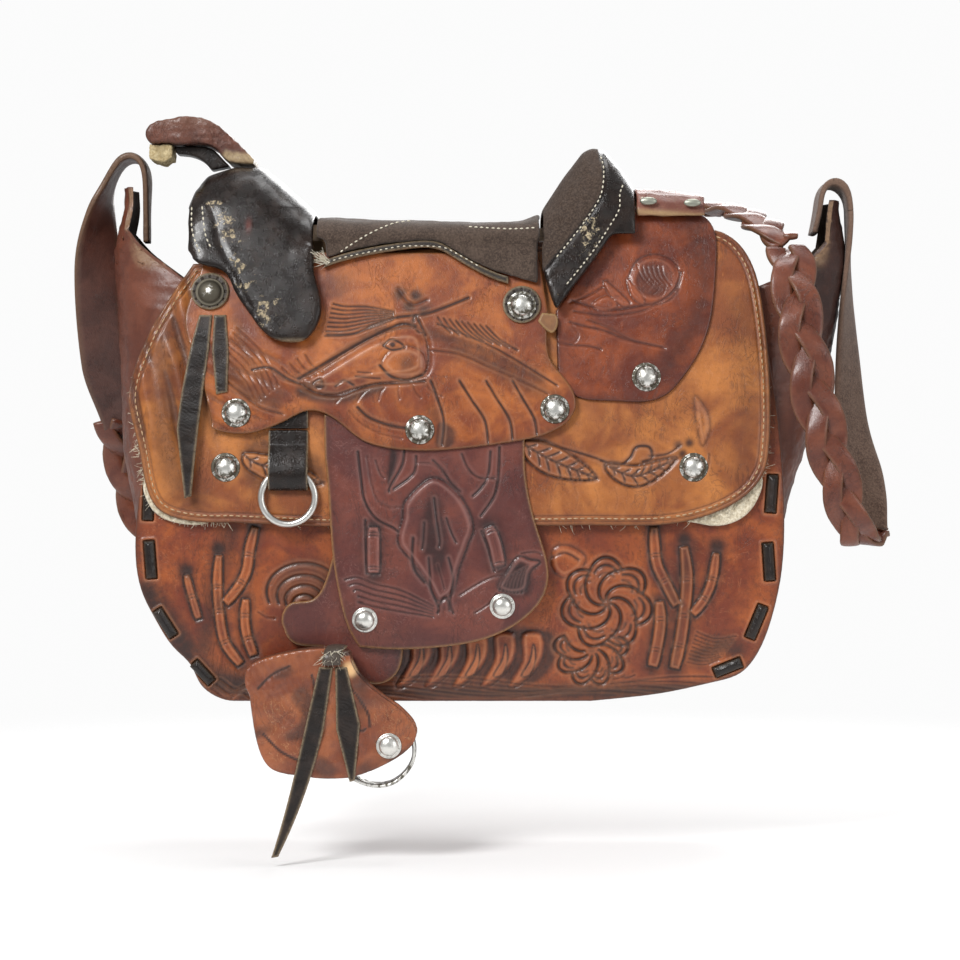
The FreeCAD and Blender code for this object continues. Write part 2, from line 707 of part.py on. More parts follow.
FENDER_HINGE = 114
FENDER_OUTLINE = [
    [(-61.4, FENDER_HINGE), (-60, 103.5), (-57, 63.5), (-54, 46.5), (-50.6, 34.5), (-45.5, 25.5)],
    [(-26.7, 24.4), (-10.6, 25.3), (14, 30), (29.4, 38.6), (37, 47), (40, 56), (39.6, 63.5), (35.4, 78),
     (30.4, 98.4),
     (29.4, FENDER_HINGE)],
    [(-61.4, FENDER_HINGE)],
]
keep(on_face("fender", "fender", *FENDER_OUTLINE), "fender")
keep(on_face("fender_top", "fender", *upright(-62.4, 29.4, FENDER_HINGE + 0.4, 135)), "fender_top")
conchos("fender_conchos", [(-43, 37.7), (19.3, 44)], FENDER_FACE, "small_concho_radius")
keep(on_face("stirrup_strap", "stirrupstrap", [(-74, 26.4), (-62, 25), (-50, 17), (-42, 9), (-36, 8.4),
                                               (-29, 13), (-26, 24), (-26, 40)], [(-26, 74)], [(-56, 74)],
             [(-60, 58), (-68, 46.5), (-77, 45), (-80.6, 40), (-80, 34)]), "stirrup_strap")

HOOD_OUTLINE = [
    [(-94, 5), (-94, 18), (-83.7, 22.5), (-69.5, 25.4), (-54, 26)],
    [(-49, 24.4)],
    [(-44, 13), (-32, 3), (-22, -5.5), (-19, -12.4), (-22.5, -19), (-31, -25), (-45, -31), (-55, -32.7),
     (-73, -31),
     (-83.7, -28.4), (-91, -15), (-94, 5)],
]
hood = doc.addObject("Part::Cut", "tapadero_hood")
hood.Base = prism("hood_body", *HOOD_OUTLINE, length="hood_width", middle=True)
hood.Tool = prism("hood_hollow", [(-10, -40)], [(-10, 12)], [(-52, 21)],
                  [(-70, 19), (-82, 14), (-86, 4), (-84, -12), (-76, -22), (-62, -28), (-58, -40)],
                  length="hood_gap", middle=True)
hood.Placement = Placement(Vector(0, size("hood_middle"), 0), Rotation())
keep(hood, "tapadero_hood")

# stirrup frame: one bent strip that closes the hood's open back and carries the tread
TREAD_OUTSIDE = [(-56, -28.6), (-50, -32.4), (-40.5, -36.4), (-31, -36), (-24.4, -31.6), (-20, -24.6),
                 (-20, -16),
                 (-26, -5), (-36, 5)]
TREAD_INSIDE = [(-35, 3.6), (-27.4, -5.4), (-21.8, -15.6), (-21.6, -23.6), (-25.4, -30.2), (-31.4, -34.4),
                (-40.2, -34.8), (-49.2, -30.8), (-55.2, -27)]
frame = prism("stirrup_frame", TREAD_OUTSIDE[1:], [TREAD_INSIDE[0]], TREAD_INSIDE[1:], [TREAD_OUTSIDE[0]],
              length="tread_width", middle=True)
frame.Placement = Placement(Vector(0, size("hood_middle"), 0), Rotation())
keep(frame, "stirrup_frame")

hood_face = size("hood_middle") - size("hood_width") / 2


def on_hood(name, *runs, wall="tail_wall", lift=0.2):
    """A flat piece lying against the front of the stirrup hood."""
    body = prism(name, *runs, length=wall)
    body.Placement = Placement(Vector(0, hood_face - lift, 0), Rotation())
    return body


hood_concho = doc.addObject("Part::Ellipsoid", "tapadero_concho")
hood_concho.Angle1 = 0
hood_concho.Placement = Placement(Vector(-31.6, hood_face - GAP, -17.6), Rotation(Vector(1, 0, 0), 90))
bind(hood_concho, Radius1="Sizes.concho_crown", Radius2="Sizes.small_concho_radius",
     Radius3="Sizes.small_concho_radius")
keep(hood_concho, "tapadero_concho")

KNOT = (-56, 22.6)
TAIL_TOP = 17.6
knot = doc.addObject("Part::Ellipsoid", "tapadero_knot")
knot.Placement = Placement(Vector(KNOT[0], hood_face - 2.3, KNOT[1]), Rotation())
bind(knot, Radius1="Sizes.strap_width * 0.2", Radius2="Sizes.strap_width * 0.24", Radius3="2.1")
keep(knot, "tapadero_knot")
LONG_TAIL = [[(-69, -10), (-76, -40), (-84, -67.6)], [(-81, -67)], [(-69.4, -40), (-60.6, -10)],
             [(-56.6, TAIL_TOP)], [(-62.6, TAIL_TOP)]]
SHORT_TAIL = [[(-55, -10)], [(-49, -33.6)], [(-46.8, -33)], [(-44.4, -8)], [(-50.4, TAIL_TOP)],
              [(-55.4, TAIL_TOP)]]
keep(group("tapadero_strings", [on_hood("tail_long", *LONG_TAIL), on_hood("tail_short", *SHORT_TAIL)]),
     "tapadero_strings")


# ---- shoulder strap ---------------------------------------------------------------------------------------


PATH_STEPS = 4


def smoothed(path):
    """The stops of a path with even steps of a smooth curve put in between them."""
    ends = [path[0], *path, path[-1]]
    finer = []
    for before, start, end, after in zip(ends, ends[1:], ends[2:], ends[3:]):
        for step in range(PATH_STEPS):
            t = step / PATH_STEPS
            weights = (t * (2 - t) * t - t, 2 - 5 * t**2 + 3 * t**3, t + 4 * t**2 - 3 * t**3, t**3 - t**2)
            finer.append([sum(w * v for w, v in zip(weights, values)) / 2
                          for values in zip(before, start, end, after)])
    return [*finer, list(path[-1])]


def strap_run(label, width, thickness, stops):
    """Strap leather along stops of (x, y, z, yaw, width factor). Yaw turns the width direction about the
    upright axis: 0 lies along X, 90 along Y. Each section is a rectangle square to the path there, and the
    strap is lofted through them, which twists it as a draped strap is."""
    path = smoothed(stops)
    points = [Vector(*stop[:3]) for stop in path]
    wires = []
    for index, stop in enumerate(path):
        ahead = points[min(index + 1, len(path) - 1)] - points[max(index - 1, 0)]
        ahead.normalize()
        yaw = math.radians(stop[3])
        flat = Vector(math.cos(yaw), math.sin(yaw), 0)
        across = flat - ahead * flat.dot(ahead)
        across.normalize()
        through = ahead.cross(across)
        half = across * (width * stop[4] / 2)
        thin = through * (thickness / 2)
        corners = [points[index] + half * a + thin * b for a, b in ((1, 1), (-1, 1), (-1, -1), (1, -1))]
        wires.append(Part.makePolygon([*corners, corners[0]]))
    run = doc.addObject("Part::Feature", label)
    run.Shape = Part.makeLoft(wires, True, True)
    return keep(run, label)


width, wall, braid = size("strap_width"), size("strap_wall"), size("braid_wall")

# the sewn ends, which come up inside the ears and fold out over them
strap_run("strap_end_right", width, wall,
          [(166, 0, 216, 90, 0.9), (168.6, 0, 228, 90, 1), (169.4, 0, 236, 90, 1), (172.8, 0, 241.6, 90, 1),
           (178.6, 0, 242, 90, 1), (181.6, 0, 237, 90, 1)])
strap_run("strap_end_left", width, wall,
          [(-147.4, 0, 212, 90, 0.5), (-147.4, 0, 230, 90, 0.6), (-147.2, 0, 244, 90, 1),
           (-149.4, 0, 251.6, 90, 1),
           (-154.6, 0, 254.6, 90, 1), (-160, 0, 252, 90, 1), (-163.8, 0, 246.6, 90, 1)])

# right side: the flat part hangs from its fold, turns up at the bottom and comes back as a braid
strap_run("strap_right_flat", width, wall,
          [(182.4, 0, 233.6, 90, 0.4), (182.6, -0.4, 226, 89, 1), (182.6, -1, 215, 86, 1),
           (181.4, -3, 187, 72, 1), (181.4, -7, 157, 55, 1),
           (182.4, -13, 127, 42, 1), (187, -22, 102, 25, 1), (190.2, -28, 88, 10, 0.95)])
strap_run("strap_right_braid", width, braid,
          [(190, -31.4, 80.8, 10, 0.75), (186.4, -36, 72.6, 0, 0.7), (181.4, -43, 73.6, 0, 0.8),
           (177, -50, 83, -5, 0.8), (172, -54.6, 97, -5, 0.85), (165.4, -57, 118, 0, 0.9),
           (159.6, -57.6, 140, 0, 0.95),
           (154.8, -57, 162, 0, 0.95), (152, -53.6, 182, 0, 0.95), (151.4, -45, 198, 8, 0.95),
           (150.2, -33, 206.6, 20, 0.9)])

# left side: the flat part hangs outside the ear, and the braid runs on behind the bag to the right shoulder
strap_run("strap_left_flat", width, wall,
          [(-165.8, 0, 242.2, 90, 0.4), (-168, 0.4, 235, 78, 1), (-170, 1, 228, 66, 1),
           (-171.8, 4, 205, 26, 1), (-171.6, 10, 180, 8, 1),
           (-170.4, 20, 156, 6, 1), (-168, 33, 134, 6, 1)])
strap_run("strap_rear_braid", width, braid,
          [(-167.6, 35, 131, 6, 0.9), (-164, 50, 110, 8, 0.95), (-158, 61, 88, 12, 1),
           (-146, 67, 70, 30, 1),
           (-122, 69, 62, 60, 1), (-92, 70, 72, 80, 1), (-40, 71, 108, 110, 1), (20, 76, 160, 120, 1),
           (62, 88, 208, 120, 1), (92, 93, 229, 100, 0.95), (114, 82, 236, 60, 0.95),
           (131, 47, 233, 30, 0.95),
           (142, 8, 223, 20, 0.95), (147, -21, 212.4, 20, 0.9)])

# ---- checks and files -------------------------------------------------------------------------------------

doc.recompute()
failed = [thing.Name for thing in doc.Objects if "Invalid" in thing.State or "Error" in thing.State]
if failed:
    raise RuntimeError(f"these did not compute: {failed}")
labels = [piece.Label for piece in pieces]
if len(set(labels)) != len(labels):
    raise RuntimeError("two sub-parts share a label")
broken = [p.Label for p in pieces if p.Shape.isNull() or not p.Shape.isValid() or not p.Shape.Solids]
if broken:
    raise RuntimeError(f"these have no valid solid shape: {broken}")

os.makedirs("parts", exist_ok=True)
for piece in pieces:
    piece.Shape.exportStep(os.path.join("parts", f"{piece.Label}.step"))
    box = piece.Shape.BoundBox
    print(f"{piece.Label:24} solids {len(piece.Shape.Solids)}  volume {piece.Shape.Volume:9.0f}  "
          f"x {box.XMin:6.1f} {box.XMax:6.1f}  y {box.YMin:6.1f} {box.YMax:6.1f}  "
          f"z {box.ZMin:6.1f} {box.ZMax:6.1f}")
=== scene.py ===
"""A tooled leather handbag made in the shape of a western saddle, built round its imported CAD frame.

Lengths in this file are millimetres in the frame's own axes, and turn into metres where a mesh is made.
Flat leather is cut along the outline of its CAD node, follows the same arc, and carries its tooling as
real relief. Other soft parts are remeshed from their CAD node or run along its centre line.
"""

import math

import bmesh
import bpy
import numpy as np
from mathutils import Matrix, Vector, geometry, kdtree
from mathutils.bvhtree import BVHTree


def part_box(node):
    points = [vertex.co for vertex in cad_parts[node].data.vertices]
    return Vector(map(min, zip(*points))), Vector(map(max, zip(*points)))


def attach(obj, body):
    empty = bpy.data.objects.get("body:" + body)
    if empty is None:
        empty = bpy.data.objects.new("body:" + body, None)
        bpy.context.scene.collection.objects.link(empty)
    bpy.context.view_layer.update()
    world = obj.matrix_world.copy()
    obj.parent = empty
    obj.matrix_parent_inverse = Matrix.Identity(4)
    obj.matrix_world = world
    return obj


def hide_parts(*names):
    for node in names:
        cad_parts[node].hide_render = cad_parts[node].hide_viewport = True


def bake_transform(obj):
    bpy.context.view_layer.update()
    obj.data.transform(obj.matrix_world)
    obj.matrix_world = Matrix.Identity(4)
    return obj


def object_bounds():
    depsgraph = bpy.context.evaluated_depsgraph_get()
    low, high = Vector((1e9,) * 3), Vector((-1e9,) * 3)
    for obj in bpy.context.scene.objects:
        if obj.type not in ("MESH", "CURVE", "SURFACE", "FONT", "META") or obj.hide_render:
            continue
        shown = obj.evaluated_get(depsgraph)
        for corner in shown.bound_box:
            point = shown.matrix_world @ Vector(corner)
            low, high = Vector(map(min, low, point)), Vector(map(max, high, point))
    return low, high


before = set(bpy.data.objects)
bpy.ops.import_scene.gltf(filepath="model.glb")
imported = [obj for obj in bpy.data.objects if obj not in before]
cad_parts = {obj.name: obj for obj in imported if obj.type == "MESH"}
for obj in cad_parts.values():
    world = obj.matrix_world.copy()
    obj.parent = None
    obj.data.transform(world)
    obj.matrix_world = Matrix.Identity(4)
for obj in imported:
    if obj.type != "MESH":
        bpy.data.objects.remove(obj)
cad_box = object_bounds()

MM = 0.001
FRONT, BACK = -1, 1
random = np.random.default_rng(7)
TOOLING = 1.7  # how deep the tooling is pressed
FINE = 1.0


# ---- reading the frame ------------------------------------------------------------------------------------


def node_mesh(node):
    """A CAD node's points in millimetres, welded, and its triangles."""
    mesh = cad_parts[node].data
    points = np.zeros(len(mesh.vertices) * 3)
    mesh.vertices.foreach_get("co", points)
    points = points.reshape(-1, 3) / MM
    mesh.calc_loop_triangles()
    triangles = np.zeros(len(mesh.loop_triangles) * 3, int)
    mesh.loop_triangles.foreach_get("vertices", triangles)
    _, first, welded = np.unique(np.round(points, 3), axis=0, return_index=True, return_inverse=True)
    triangles = welded.reshape(-1)[triangles].reshape(-1, 3)
    return points[first], triangles


def outlines(node, side=FRONT):
    """The closed outlines of a flat node's outer face, as lists of points in order."""
    points, triangles = node_mesh(node)
    corners = points[triangles]
    normals = np.cross(corners[:, 1] - corners[:, 0], corners[:, 2] - corners[:, 0])
    lengths = np.linalg.norm(normals, axis=1)
    outward = normals[:, 1] * side > 0.5 * lengths
    edges = set()
    for a, b, c in triangles[outward]:
        edges |= {(a, b), (b, c), (c, a)}
    following = {a: b for a, b in edges if (b, a) not in edges}
    loops = []
    while following:
        start = next(iter(following))
        loop, at = [], start
        while at in following:
            loop.append(at)
            at = following.pop(at)
        if len(loop) > 2:
            loops.append(points[loop])
    return loops


def arc_centre():
    """The centre (y, z) of the arc that the front panel follows, from its outer face."""
    loop = outlines("front_panel")[0]
    y, z = loop[:, 1], loop[:, 2]
    fit = np.linalg.lstsq(np.column_stack([2 * y, 2 * z, np.ones(len(y))]), y**2 + z**2, rcond=None)[0]
    return fit[0], fit[1]


ARC_Y, ARC_Z = arc_centre()


def arc_radius(points):
    return float(np.median(np.hypot(np.abs(points[:, 1]) + ARC_Y, points[:, 2] - ARC_Z)))


def arc_y(radius, z, side):
    return side * (np.sqrt(radius**2 - (z - ARC_Z) ** 2) - ARC_Y)


# ---- curves and areas in the flat -------------------------------------------------------------------------


def curve(points, closed=False, step=0.8):
    """A smooth line through the points."""
    points = np.array(points, float)
    if closed:
        padded = np.vstack([points[-1:], points, points[:2]])
    else:
        padded = np.vstack([points[:1], points, points[-1:]])
    parts = []
    for before, start, end, after in zip(padded, padded[1:], padded[2:], padded[3:]):
        count = max(1, int(np.ceil(np.linalg.norm(end - start) / step)))
        t = np.linspace(0, 1, count, endpoint=False)[:, None]
        parts.append(start + 0.5 * t * (end - before + t * (2 * before - 5 * start + 4 * end - after
                                                            + t * (3 * (start - end) + after - before))))
    if not closed:
        parts.append(points[-1:])
    return np.vstack(parts)


def within(points, loops):
    """True for the points inside an odd number of loops."""
    inside = np.zeros(len(points), bool)
    x, z = points[:, 0], points[:, 1]
    for loop in loops:
        for (x1, z1), (x2, z2) in zip(loop, np.roll(loop, -1, axis=0)):
            if z1 != z2:
                level = (z >= min(z1, z2)) & (z < max(z1, z2))
                inside[level] ^= x[level] < x1 + (z[level] - z1) * (x2 - x1) / (z2 - z1)
    return inside


def split_long(loop, spacing):
    """The loop with points added so that no step is longer than the spacing."""
    parts = []
    for start, end in zip(loop, np.roll(loop, -1, axis=0)):
        count = max(1, int(np.ceil(np.linalg.norm(end - start) / spacing)))
        parts.append(start + np.linspace(0, 1, count, endpoint=False)[:, None] * (end - start))
    return np.vstack(parts)


def signed_area(loop):
    x, z = loop[:, 0], loop[:, 1]
    return 0.5 * float(np.sum(x * np.roll(z, -1) - np.roll(x, -1) * z))


def ordered(loops):
    """Outer loops anticlockwise and holes clockwise."""
    result = []
    for loop in loops:
        others = [other for other in loops if other is not loop]
        hole = bool(others) and bool(within(loop[:1], others)[0])
        result.append(loop[::-1] if (signed_area(loop) < 0) != hole else loop)
    return result


def gap_to_path(points, path):
    """How far each 2-D point is from a path."""
    best = np.full(len(points), np.inf)
    for start, end in zip(path, path[1:]):
        along = end - start
        share = np.clip(((points - start) @ along) / max(along @ along, 1e-12), 0, 1)
        best = np.minimum(best, ((points - start - share[:, None] * along) ** 2).sum(1))
    return np.sqrt(best)


def nearest_tree(points):
    tree = kdtree.KDTree(len(points))
    for index, point in enumerate(points):
        tree.insert((*point, 0) if len(point) == 2 else point, index)
    tree.balance()
    return tree


def distances(tree, points):
    return np.array([tree.find((x, z, 0))[2] for x, z in points])


def filled(loops, spacing, fine_zone=None, coarse=4.0, rim_rows=()):
    """Points and anticlockwise triangles that fill the loops, and each point's distance from the edge."""
    border = np.vstack(loops)
    tree = nearest_tree(np.vstack([split_long(loop, 0.2) for loop in loops]))
    low, high = border.min(0), border.max(0)

    def grid(step):
        rows = np.arange(low[1] + step / 2, high[1], step * math.sin(math.pi / 3))
        points = [np.column_stack([np.arange(low[0] + step / 2 * (row % 2), high[0], step),
                                   np.full(len(np.arange(low[0] + step / 2 * (row % 2), high[0], step)), z)])
                  for row, z in enumerate(rows)]
        points = np.vstack(points) if points else np.zeros((0, 2))
        points = points[within(points, loops)]
        return points[distances(tree, points) > 0.5 * step] if len(points) else points

    points = grid(spacing)
    if fine_zone is not None:
        rough = grid(spacing * coarse)
        points = np.vstack([points[fine_zone(points)], rough[~fine_zone(rough)]])
    for row in rim_rows:
        for loop in loops:
            along = np.roll(loop, -1, axis=0) - np.roll(loop, 1, axis=0)
            along /= np.maximum(np.linalg.norm(along, axis=1), 1e-9)[:, None]
            moved = loop + row * np.column_stack([-along[:, 1], along[:, 0]])
            moved = moved[within(moved, loops)]
            if len(moved):
                moved = moved[distances(tree, moved) > row * 0.8]
                points = np.vstack([points, moved])
    edges, first = [], 0
    for loop in loops:
        edges += [(first + i, first + (i + 1) % len(loop)) for i in range(len(loop))]
        first += len(loop)
    every = np.vstack([border, points])
    made = geometry.delaunay_2d_cdt([Vector(p) for p in every], edges, [], 0, 1e-4)
    flat = np.array([(v.x, v.y) for v in made[0]])
    triangles = np.array(made[2])
    triangles = triangles[within(flat[triangles].mean(1), loops)]
    a, b, c = (flat[triangles[:, k]] for k in range(3))
    turned = (b[:, 0] - a[:, 0]) * (c[:, 1] - a[:, 1]) - (b[:, 1] - a[:, 1]) * (c[:, 0] - a[:, 0]) < 0
    triangles[turned] = triangles[turned][:, ::-1]
    used = np.unique(triangles)
    renumber = np.zeros(len(flat), int)
    renumber[used] = np.arange(len(used))
    flat, triangles = flat[used], renumber[triangles]
    return flat, triangles, distances(tree, flat)


# ---- meshes -----------------------------------------------------------------------------------------------


def make_object(name, points, faces, **attributes):
    """A smooth mesh object from points in millimetres, with float attributes on its points."""
    mesh = bpy.data.meshes.new(name)
    points = np.asarray(points, float)
    mesh.from_pydata((points * MM).tolist(), [], [list(map(int, face)) for face in faces])
    mesh.polygons.foreach_set("use_smooth", np.ones(len(mesh.polygons), bool))
    obj = bpy.data.objects.new(name, mesh)
    bpy.context.scene.collection.objects.link(obj)
    paint(obj, **attributes)
    return obj


def merged(parts):
    """Points and faces of several (points, faces) parts as one."""
    points, faces, total = [], [], 0
    for part_points, part_faces in parts:
        points.append(part_points)
        faces += [[total + k for k in face] for face in part_faces]
        total += len(part_points)
    return np.vstack(points), faces


def tube(centres, radii, side, up, around, capped=True):
    """A tube through centres whose rings lie along two directions, closed at its end or at both ends."""
    angles = 2 * math.pi * np.arange(around) / around
    points = np.vstack([centre + radius * (np.outer(np.cos(angles), side) + np.outer(np.sin(angles), up))
                        for centre, radius in zip(centres, radii)])
    rings = len(centres)
    faces = [[r * around + k, r * around + (k + 1) % around, (r + 1) * around + (k + 1) % around,
              (r + 1) * around + k] for r in range(rings - 1) for k in range(around)]
    if capped:
        faces.append(list(range(around))[::-1])
    faces.append([(rings - 1) * around + k for k in range(around)])
    return points, faces


def paint(obj, **attributes):
    """Stores float attributes and the points' places at rest on a mesh."""
    mesh = obj.data
    for key, values in attributes.items():
        layer = mesh.attributes.get(key) or mesh.attributes.new(key, "FLOAT", "POINT")
        values = np.broadcast_to(np.asarray(values, np.float32), (len(mesh.vertices),))
        layer.data.foreach_set("value", np.ascontiguousarray(values))
    rest = mesh.attributes.get("rest") or mesh.attributes.new("rest", "FLOAT_VECTOR", "POINT")
    places = np.zeros(len(mesh.vertices) * 3, np.float32)
    mesh.vertices.foreach_get("co", places)
    rest.data.foreach_set("vector", places)


def finish_piece(obj, material, body=None, nodes=()):
    obj.data.materials.clear()
    obj.data.materials.append(material)
    if nodes:
        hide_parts(*nodes)
    if body:
        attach(obj, body)
    return obj


def ripple(points, scale, seed=0):
    """Smooth pseudo-random values from -1 to 1 over 2-D points; scale is the size of a ripple."""
    made = np.random.default_rng(seed)
    total = np.zeros(len(points))
    for _ in range(6):
        turn = made.uniform(0, 2 * math.pi)
        size = scale * made.uniform(0.6, 1.5)
        total += np.sin((points[:, 0] * math.cos(turn) + points[:, 1] * math.sin(turn)) * 2 * math.pi / size
                        + made.uniform(0, 2 * math.pi) + 1.3 * np.sin(points[:, 1] * 4 / size))
    return total / 3.2


class Relief:
    """Tooling on a flat piece of leather: height, darkening (dyeing and painted shade) and paling (rubbing
    and painted sheen) at each of its points.
    """

    def __init__(self, points, edge_gap):
        self.at = points
        self.edge_gap = edge_gap
        self.raised = np.zeros(len(points))
        self.carved = np.zeros(len(points))
        self.dye = np.zeros(len(points))
        self.worn = np.zeros(len(points))

    @property
    def height(self):
        return self.raised - self.carved

    def distance(self, path, reach):
        """The points near a path, and how far from it each one is."""
        index = np.nonzero(((self.at > path.min(0) - reach) & (self.at < path.max(0) + reach)).all(1))[0]
        return index, gap_to_path(self.at[index], path)

    def cut(self, points, width=0.6, depth=0.45, dye=0.75, closed=False):
        """A line cut and opened with a swivel knife."""
        index, gap = self.distance(curve(points, closed), 4 * width)
        bowl = near(gap, 0, width)
        lip = np.exp(-(((gap - 1.9 * width) / width) ** 2))
        self.carved[index] = np.maximum(self.carved[index], depth * bowl)
        self.raised[index] = np.maximum(self.raised[index], 0.12 * depth * lip)
        # the cut and a soft band round it are darkened: antique dyeing together with painted shade in the
        # groove; the pale lip beside it is rubbing together with painted sheen
        shade = 0.42 * dye * np.exp(-((gap / (2.4 * width)) ** 2))
        self.dye[index] = np.maximum(self.dye[index], np.maximum(dye * bowl, shade))
        self.worn[index] = np.maximum(self.worn[index], 0.35 * dye * lip)

    def figure(self, points, lift=0.45, slope=1.3, shade=0.6, spread=1.5, smooth=True):
        """A shape raised by beating down the leather round it; the beaten-down ring and the shape's edge are
        darkened as painted shade.
        """
        path = curve(points, True) if smooth else split_long(np.array(points, float), 1.0)
        index, gap = self.distance(np.vstack([path, path[:1]]), 3 * spread)
        inside = within(self.at[index], [path])
        rise = np.clip(gap / slope, 0, 1)
        rise = rise * rise * (3 - 2 * rise)
        fall = near(gap, 0, spread)
        self.raised[index] = np.where(inside, np.maximum(self.raised[index], lift * rise), self.raised[index])
        self.carved[index] = np.where(inside, self.carved[index],
                                      np.maximum(self.carved[index], 0.9 * lift * fall))
        self.dye[index] = np.where(inside, self.dye[index] * (1 - rise),
                                   np.maximum(self.dye[index], shade * fall))
        edge = near(gap, 0, 0.45)
        self.dye[index] = np.maximum(self.dye[index], 0.8 * shade * edge)
        # a pale band on the shape's shoulder: rubbing together with painted sheen
        self.worn[index] = np.maximum(self.worn[index], np.where(inside, 0.6 * np.exp(
            -(((gap - slope) / 0.7) ** 2)), 0))

    def matting(self, points, depth=0.25, dye=0.8, soft=5.0):
        """A background area beaten down and dyed."""
        path = curve(points, True)
        index, gap = self.distance(np.vstack([path, path[:1]]), soft)
        inside = within(self.at[index], [path])
        share = np.clip(0.5 + np.where(inside, gap, -gap) / soft, 0, 1)
        self.carved[index] = np.maximum(self.carved[index], depth * share)
        self.dye[index] = np.maximum(self.dye[index], dye * share)

    def smear(self, points, width, dye):
        """A soft darkening along a line."""
        index, gap = self.distance(curve(points, step=width), 2.2 * width)
        self.dye[index] = np.maximum(self.dye[index], dye * near(gap, 0, width))

    def spot(self, x, z, radius, dye):
        gap = np.hypot(self.at[:, 0] - x, self.at[:, 1] - z)
        self.dye = np.maximum(self.dye, dye * near(gap, 0, radius))


def sheet(name, node, spacing=0.6, side=FRONT, tooling=None, wave=None, fine_zone=None, rim=0.8,
          shade=(4, 0.35), back_spacing=5.0, loops_in=None, plane=False):
    """A piece of leather cut along a CAD node's outline. `tooling` works on a Relief, and `wave` gives how
    far the whole piece stands out at each point. It follows the bag's arc, or with `plane` stays upright."""
    loops = loops_in or outlines(node, side)
    radius = arc_radius(np.vstack(loops))
    points, _ = node_mesh(node)
    inner_radius = float(np.min(np.hypot(np.abs(points[:, 1]) + ARC_Y, points[:, 2] - ARC_Z)))
    thickness = float(np.ptp(points[:, 1])) if plane else radius - inner_radius
    depth_out = float(np.median(np.vstack(loops)[:, 1]))
    rim = min(rim, thickness * 0.7)
    flat_loops = ordered([loop[:, [0, 2]] for loop in loops])
    flat_loops = [split_long(loop, 1.3 * spacing * FINE) for loop in flat_loops]
    flat, faces, gap = filled(flat_loops, spacing * FINE, fine_zone, rim_rows=(0.3, 0.8))
    back, back_faces, _ = filled(flat_loops, back_spacing)
    relief = Relief(flat, gap)
    if tooling:
        tooling(relief)
    relief.dye = np.maximum(relief.dye, shade[1] * near(gap, 0, shade[0]))
    fade = np.clip(gap / (2 * rim), 0, 1)
    lowered = rim - np.sqrt(np.maximum(rim**2 - np.maximum(rim - gap, 0) ** 2, 0))
    lift = TOOLING * relief.height * fade - lowered
    waved = (lambda p: wave(p[:, 0], p[:, 1])) if wave else (lambda p: np.zeros(len(p)))

    def place(points, out):
        base = depth_out if plane else arc_y(radius, points[:, 1], side)
        y = base + side * (out + waved(points))
        return np.column_stack([points[:, 0], y, points[:, 1]])

    outer = place(flat, lift)
    inner = place(back, np.full(len(back), -thickness))
    every, all_faces = [outer, inner], []
    first_back = len(outer)
    all_faces += [face if side == FRONT else face[::-1] for face in faces.tolist()]
    all_faces += [[first_back + k for k in (face[::-1] if side == FRONT else face)]
                  for face in back_faces.tolist()]
    outer_at = {tuple(np.round(p, 2)): k for k, p in enumerate(flat) if gap[k] < 0.01}
    inner_at = {tuple(np.round(p, 2)): first_back + k for k, p in enumerate(back)}
    total = first_back + len(back)
    rows = []
    for loop in flat_loops:
        keys = [tuple(np.round(p, 2)) for p in loop]
        if any(key not in outer_at or key not in inner_at for key in keys):
            keys = [key for key in keys if key in outer_at and key in inner_at]
        ring = np.array([key for key in keys])
        along = np.roll(ring, -1, axis=0) - np.roll(ring, 1, axis=0)
        along /= np.maximum(np.linalg.norm(along, axis=1), 1e-9)[:, None]
        out = np.column_stack([along[:, 1], -along[:, 0]])
        previous = [outer_at[key] for key in keys]
        for share in (0.5, 0.85):
            bulge = 0.1 * math.sin(math.pi * share) + random.normal(0, 0.025, len(ring))
            depth = -(rim + (thickness - rim) * share)
            moved = place(ring + out * bulge[:, None], np.full(len(ring), depth))
            every.append(moved)
            current = list(range(total, total + len(ring)))
            total += len(ring)
            rows.append((previous, current))
            previous = current
        rows.append((previous, [inner_at[key] for key in keys]))
    for upper, lower in rows:
        count = len(upper)
        for k in range(count):
            after = (k + 1) % count
            quad = [upper[after], upper[k], lower[k], lower[after]]
            all_faces.append(quad if side == FRONT else quad[::-1])
    extra = total - len(outer) - len(back)
    zeros, ones = np.zeros, np.ones
    rim_value = near(gap, 0, 0.7)
    return make_object(
        name, np.vstack(every), all_faces,
        dye=np.concatenate([relief.dye, zeros(len(back) + extra)]),
        worn=np.concatenate([relief.worn, zeros(len(back) + extra)]),
        rim=np.concatenate([rim_value, zeros(len(back)), ones(extra)]),
        edge_gap=np.concatenate([gap, 50 * ones(len(back)), zeros(extra)]),
        flesh=np.concatenate([zeros(len(outer)), ones(len(back)), zeros(extra)]))


# ---- materials --------------------------------------------------------------------------------------------


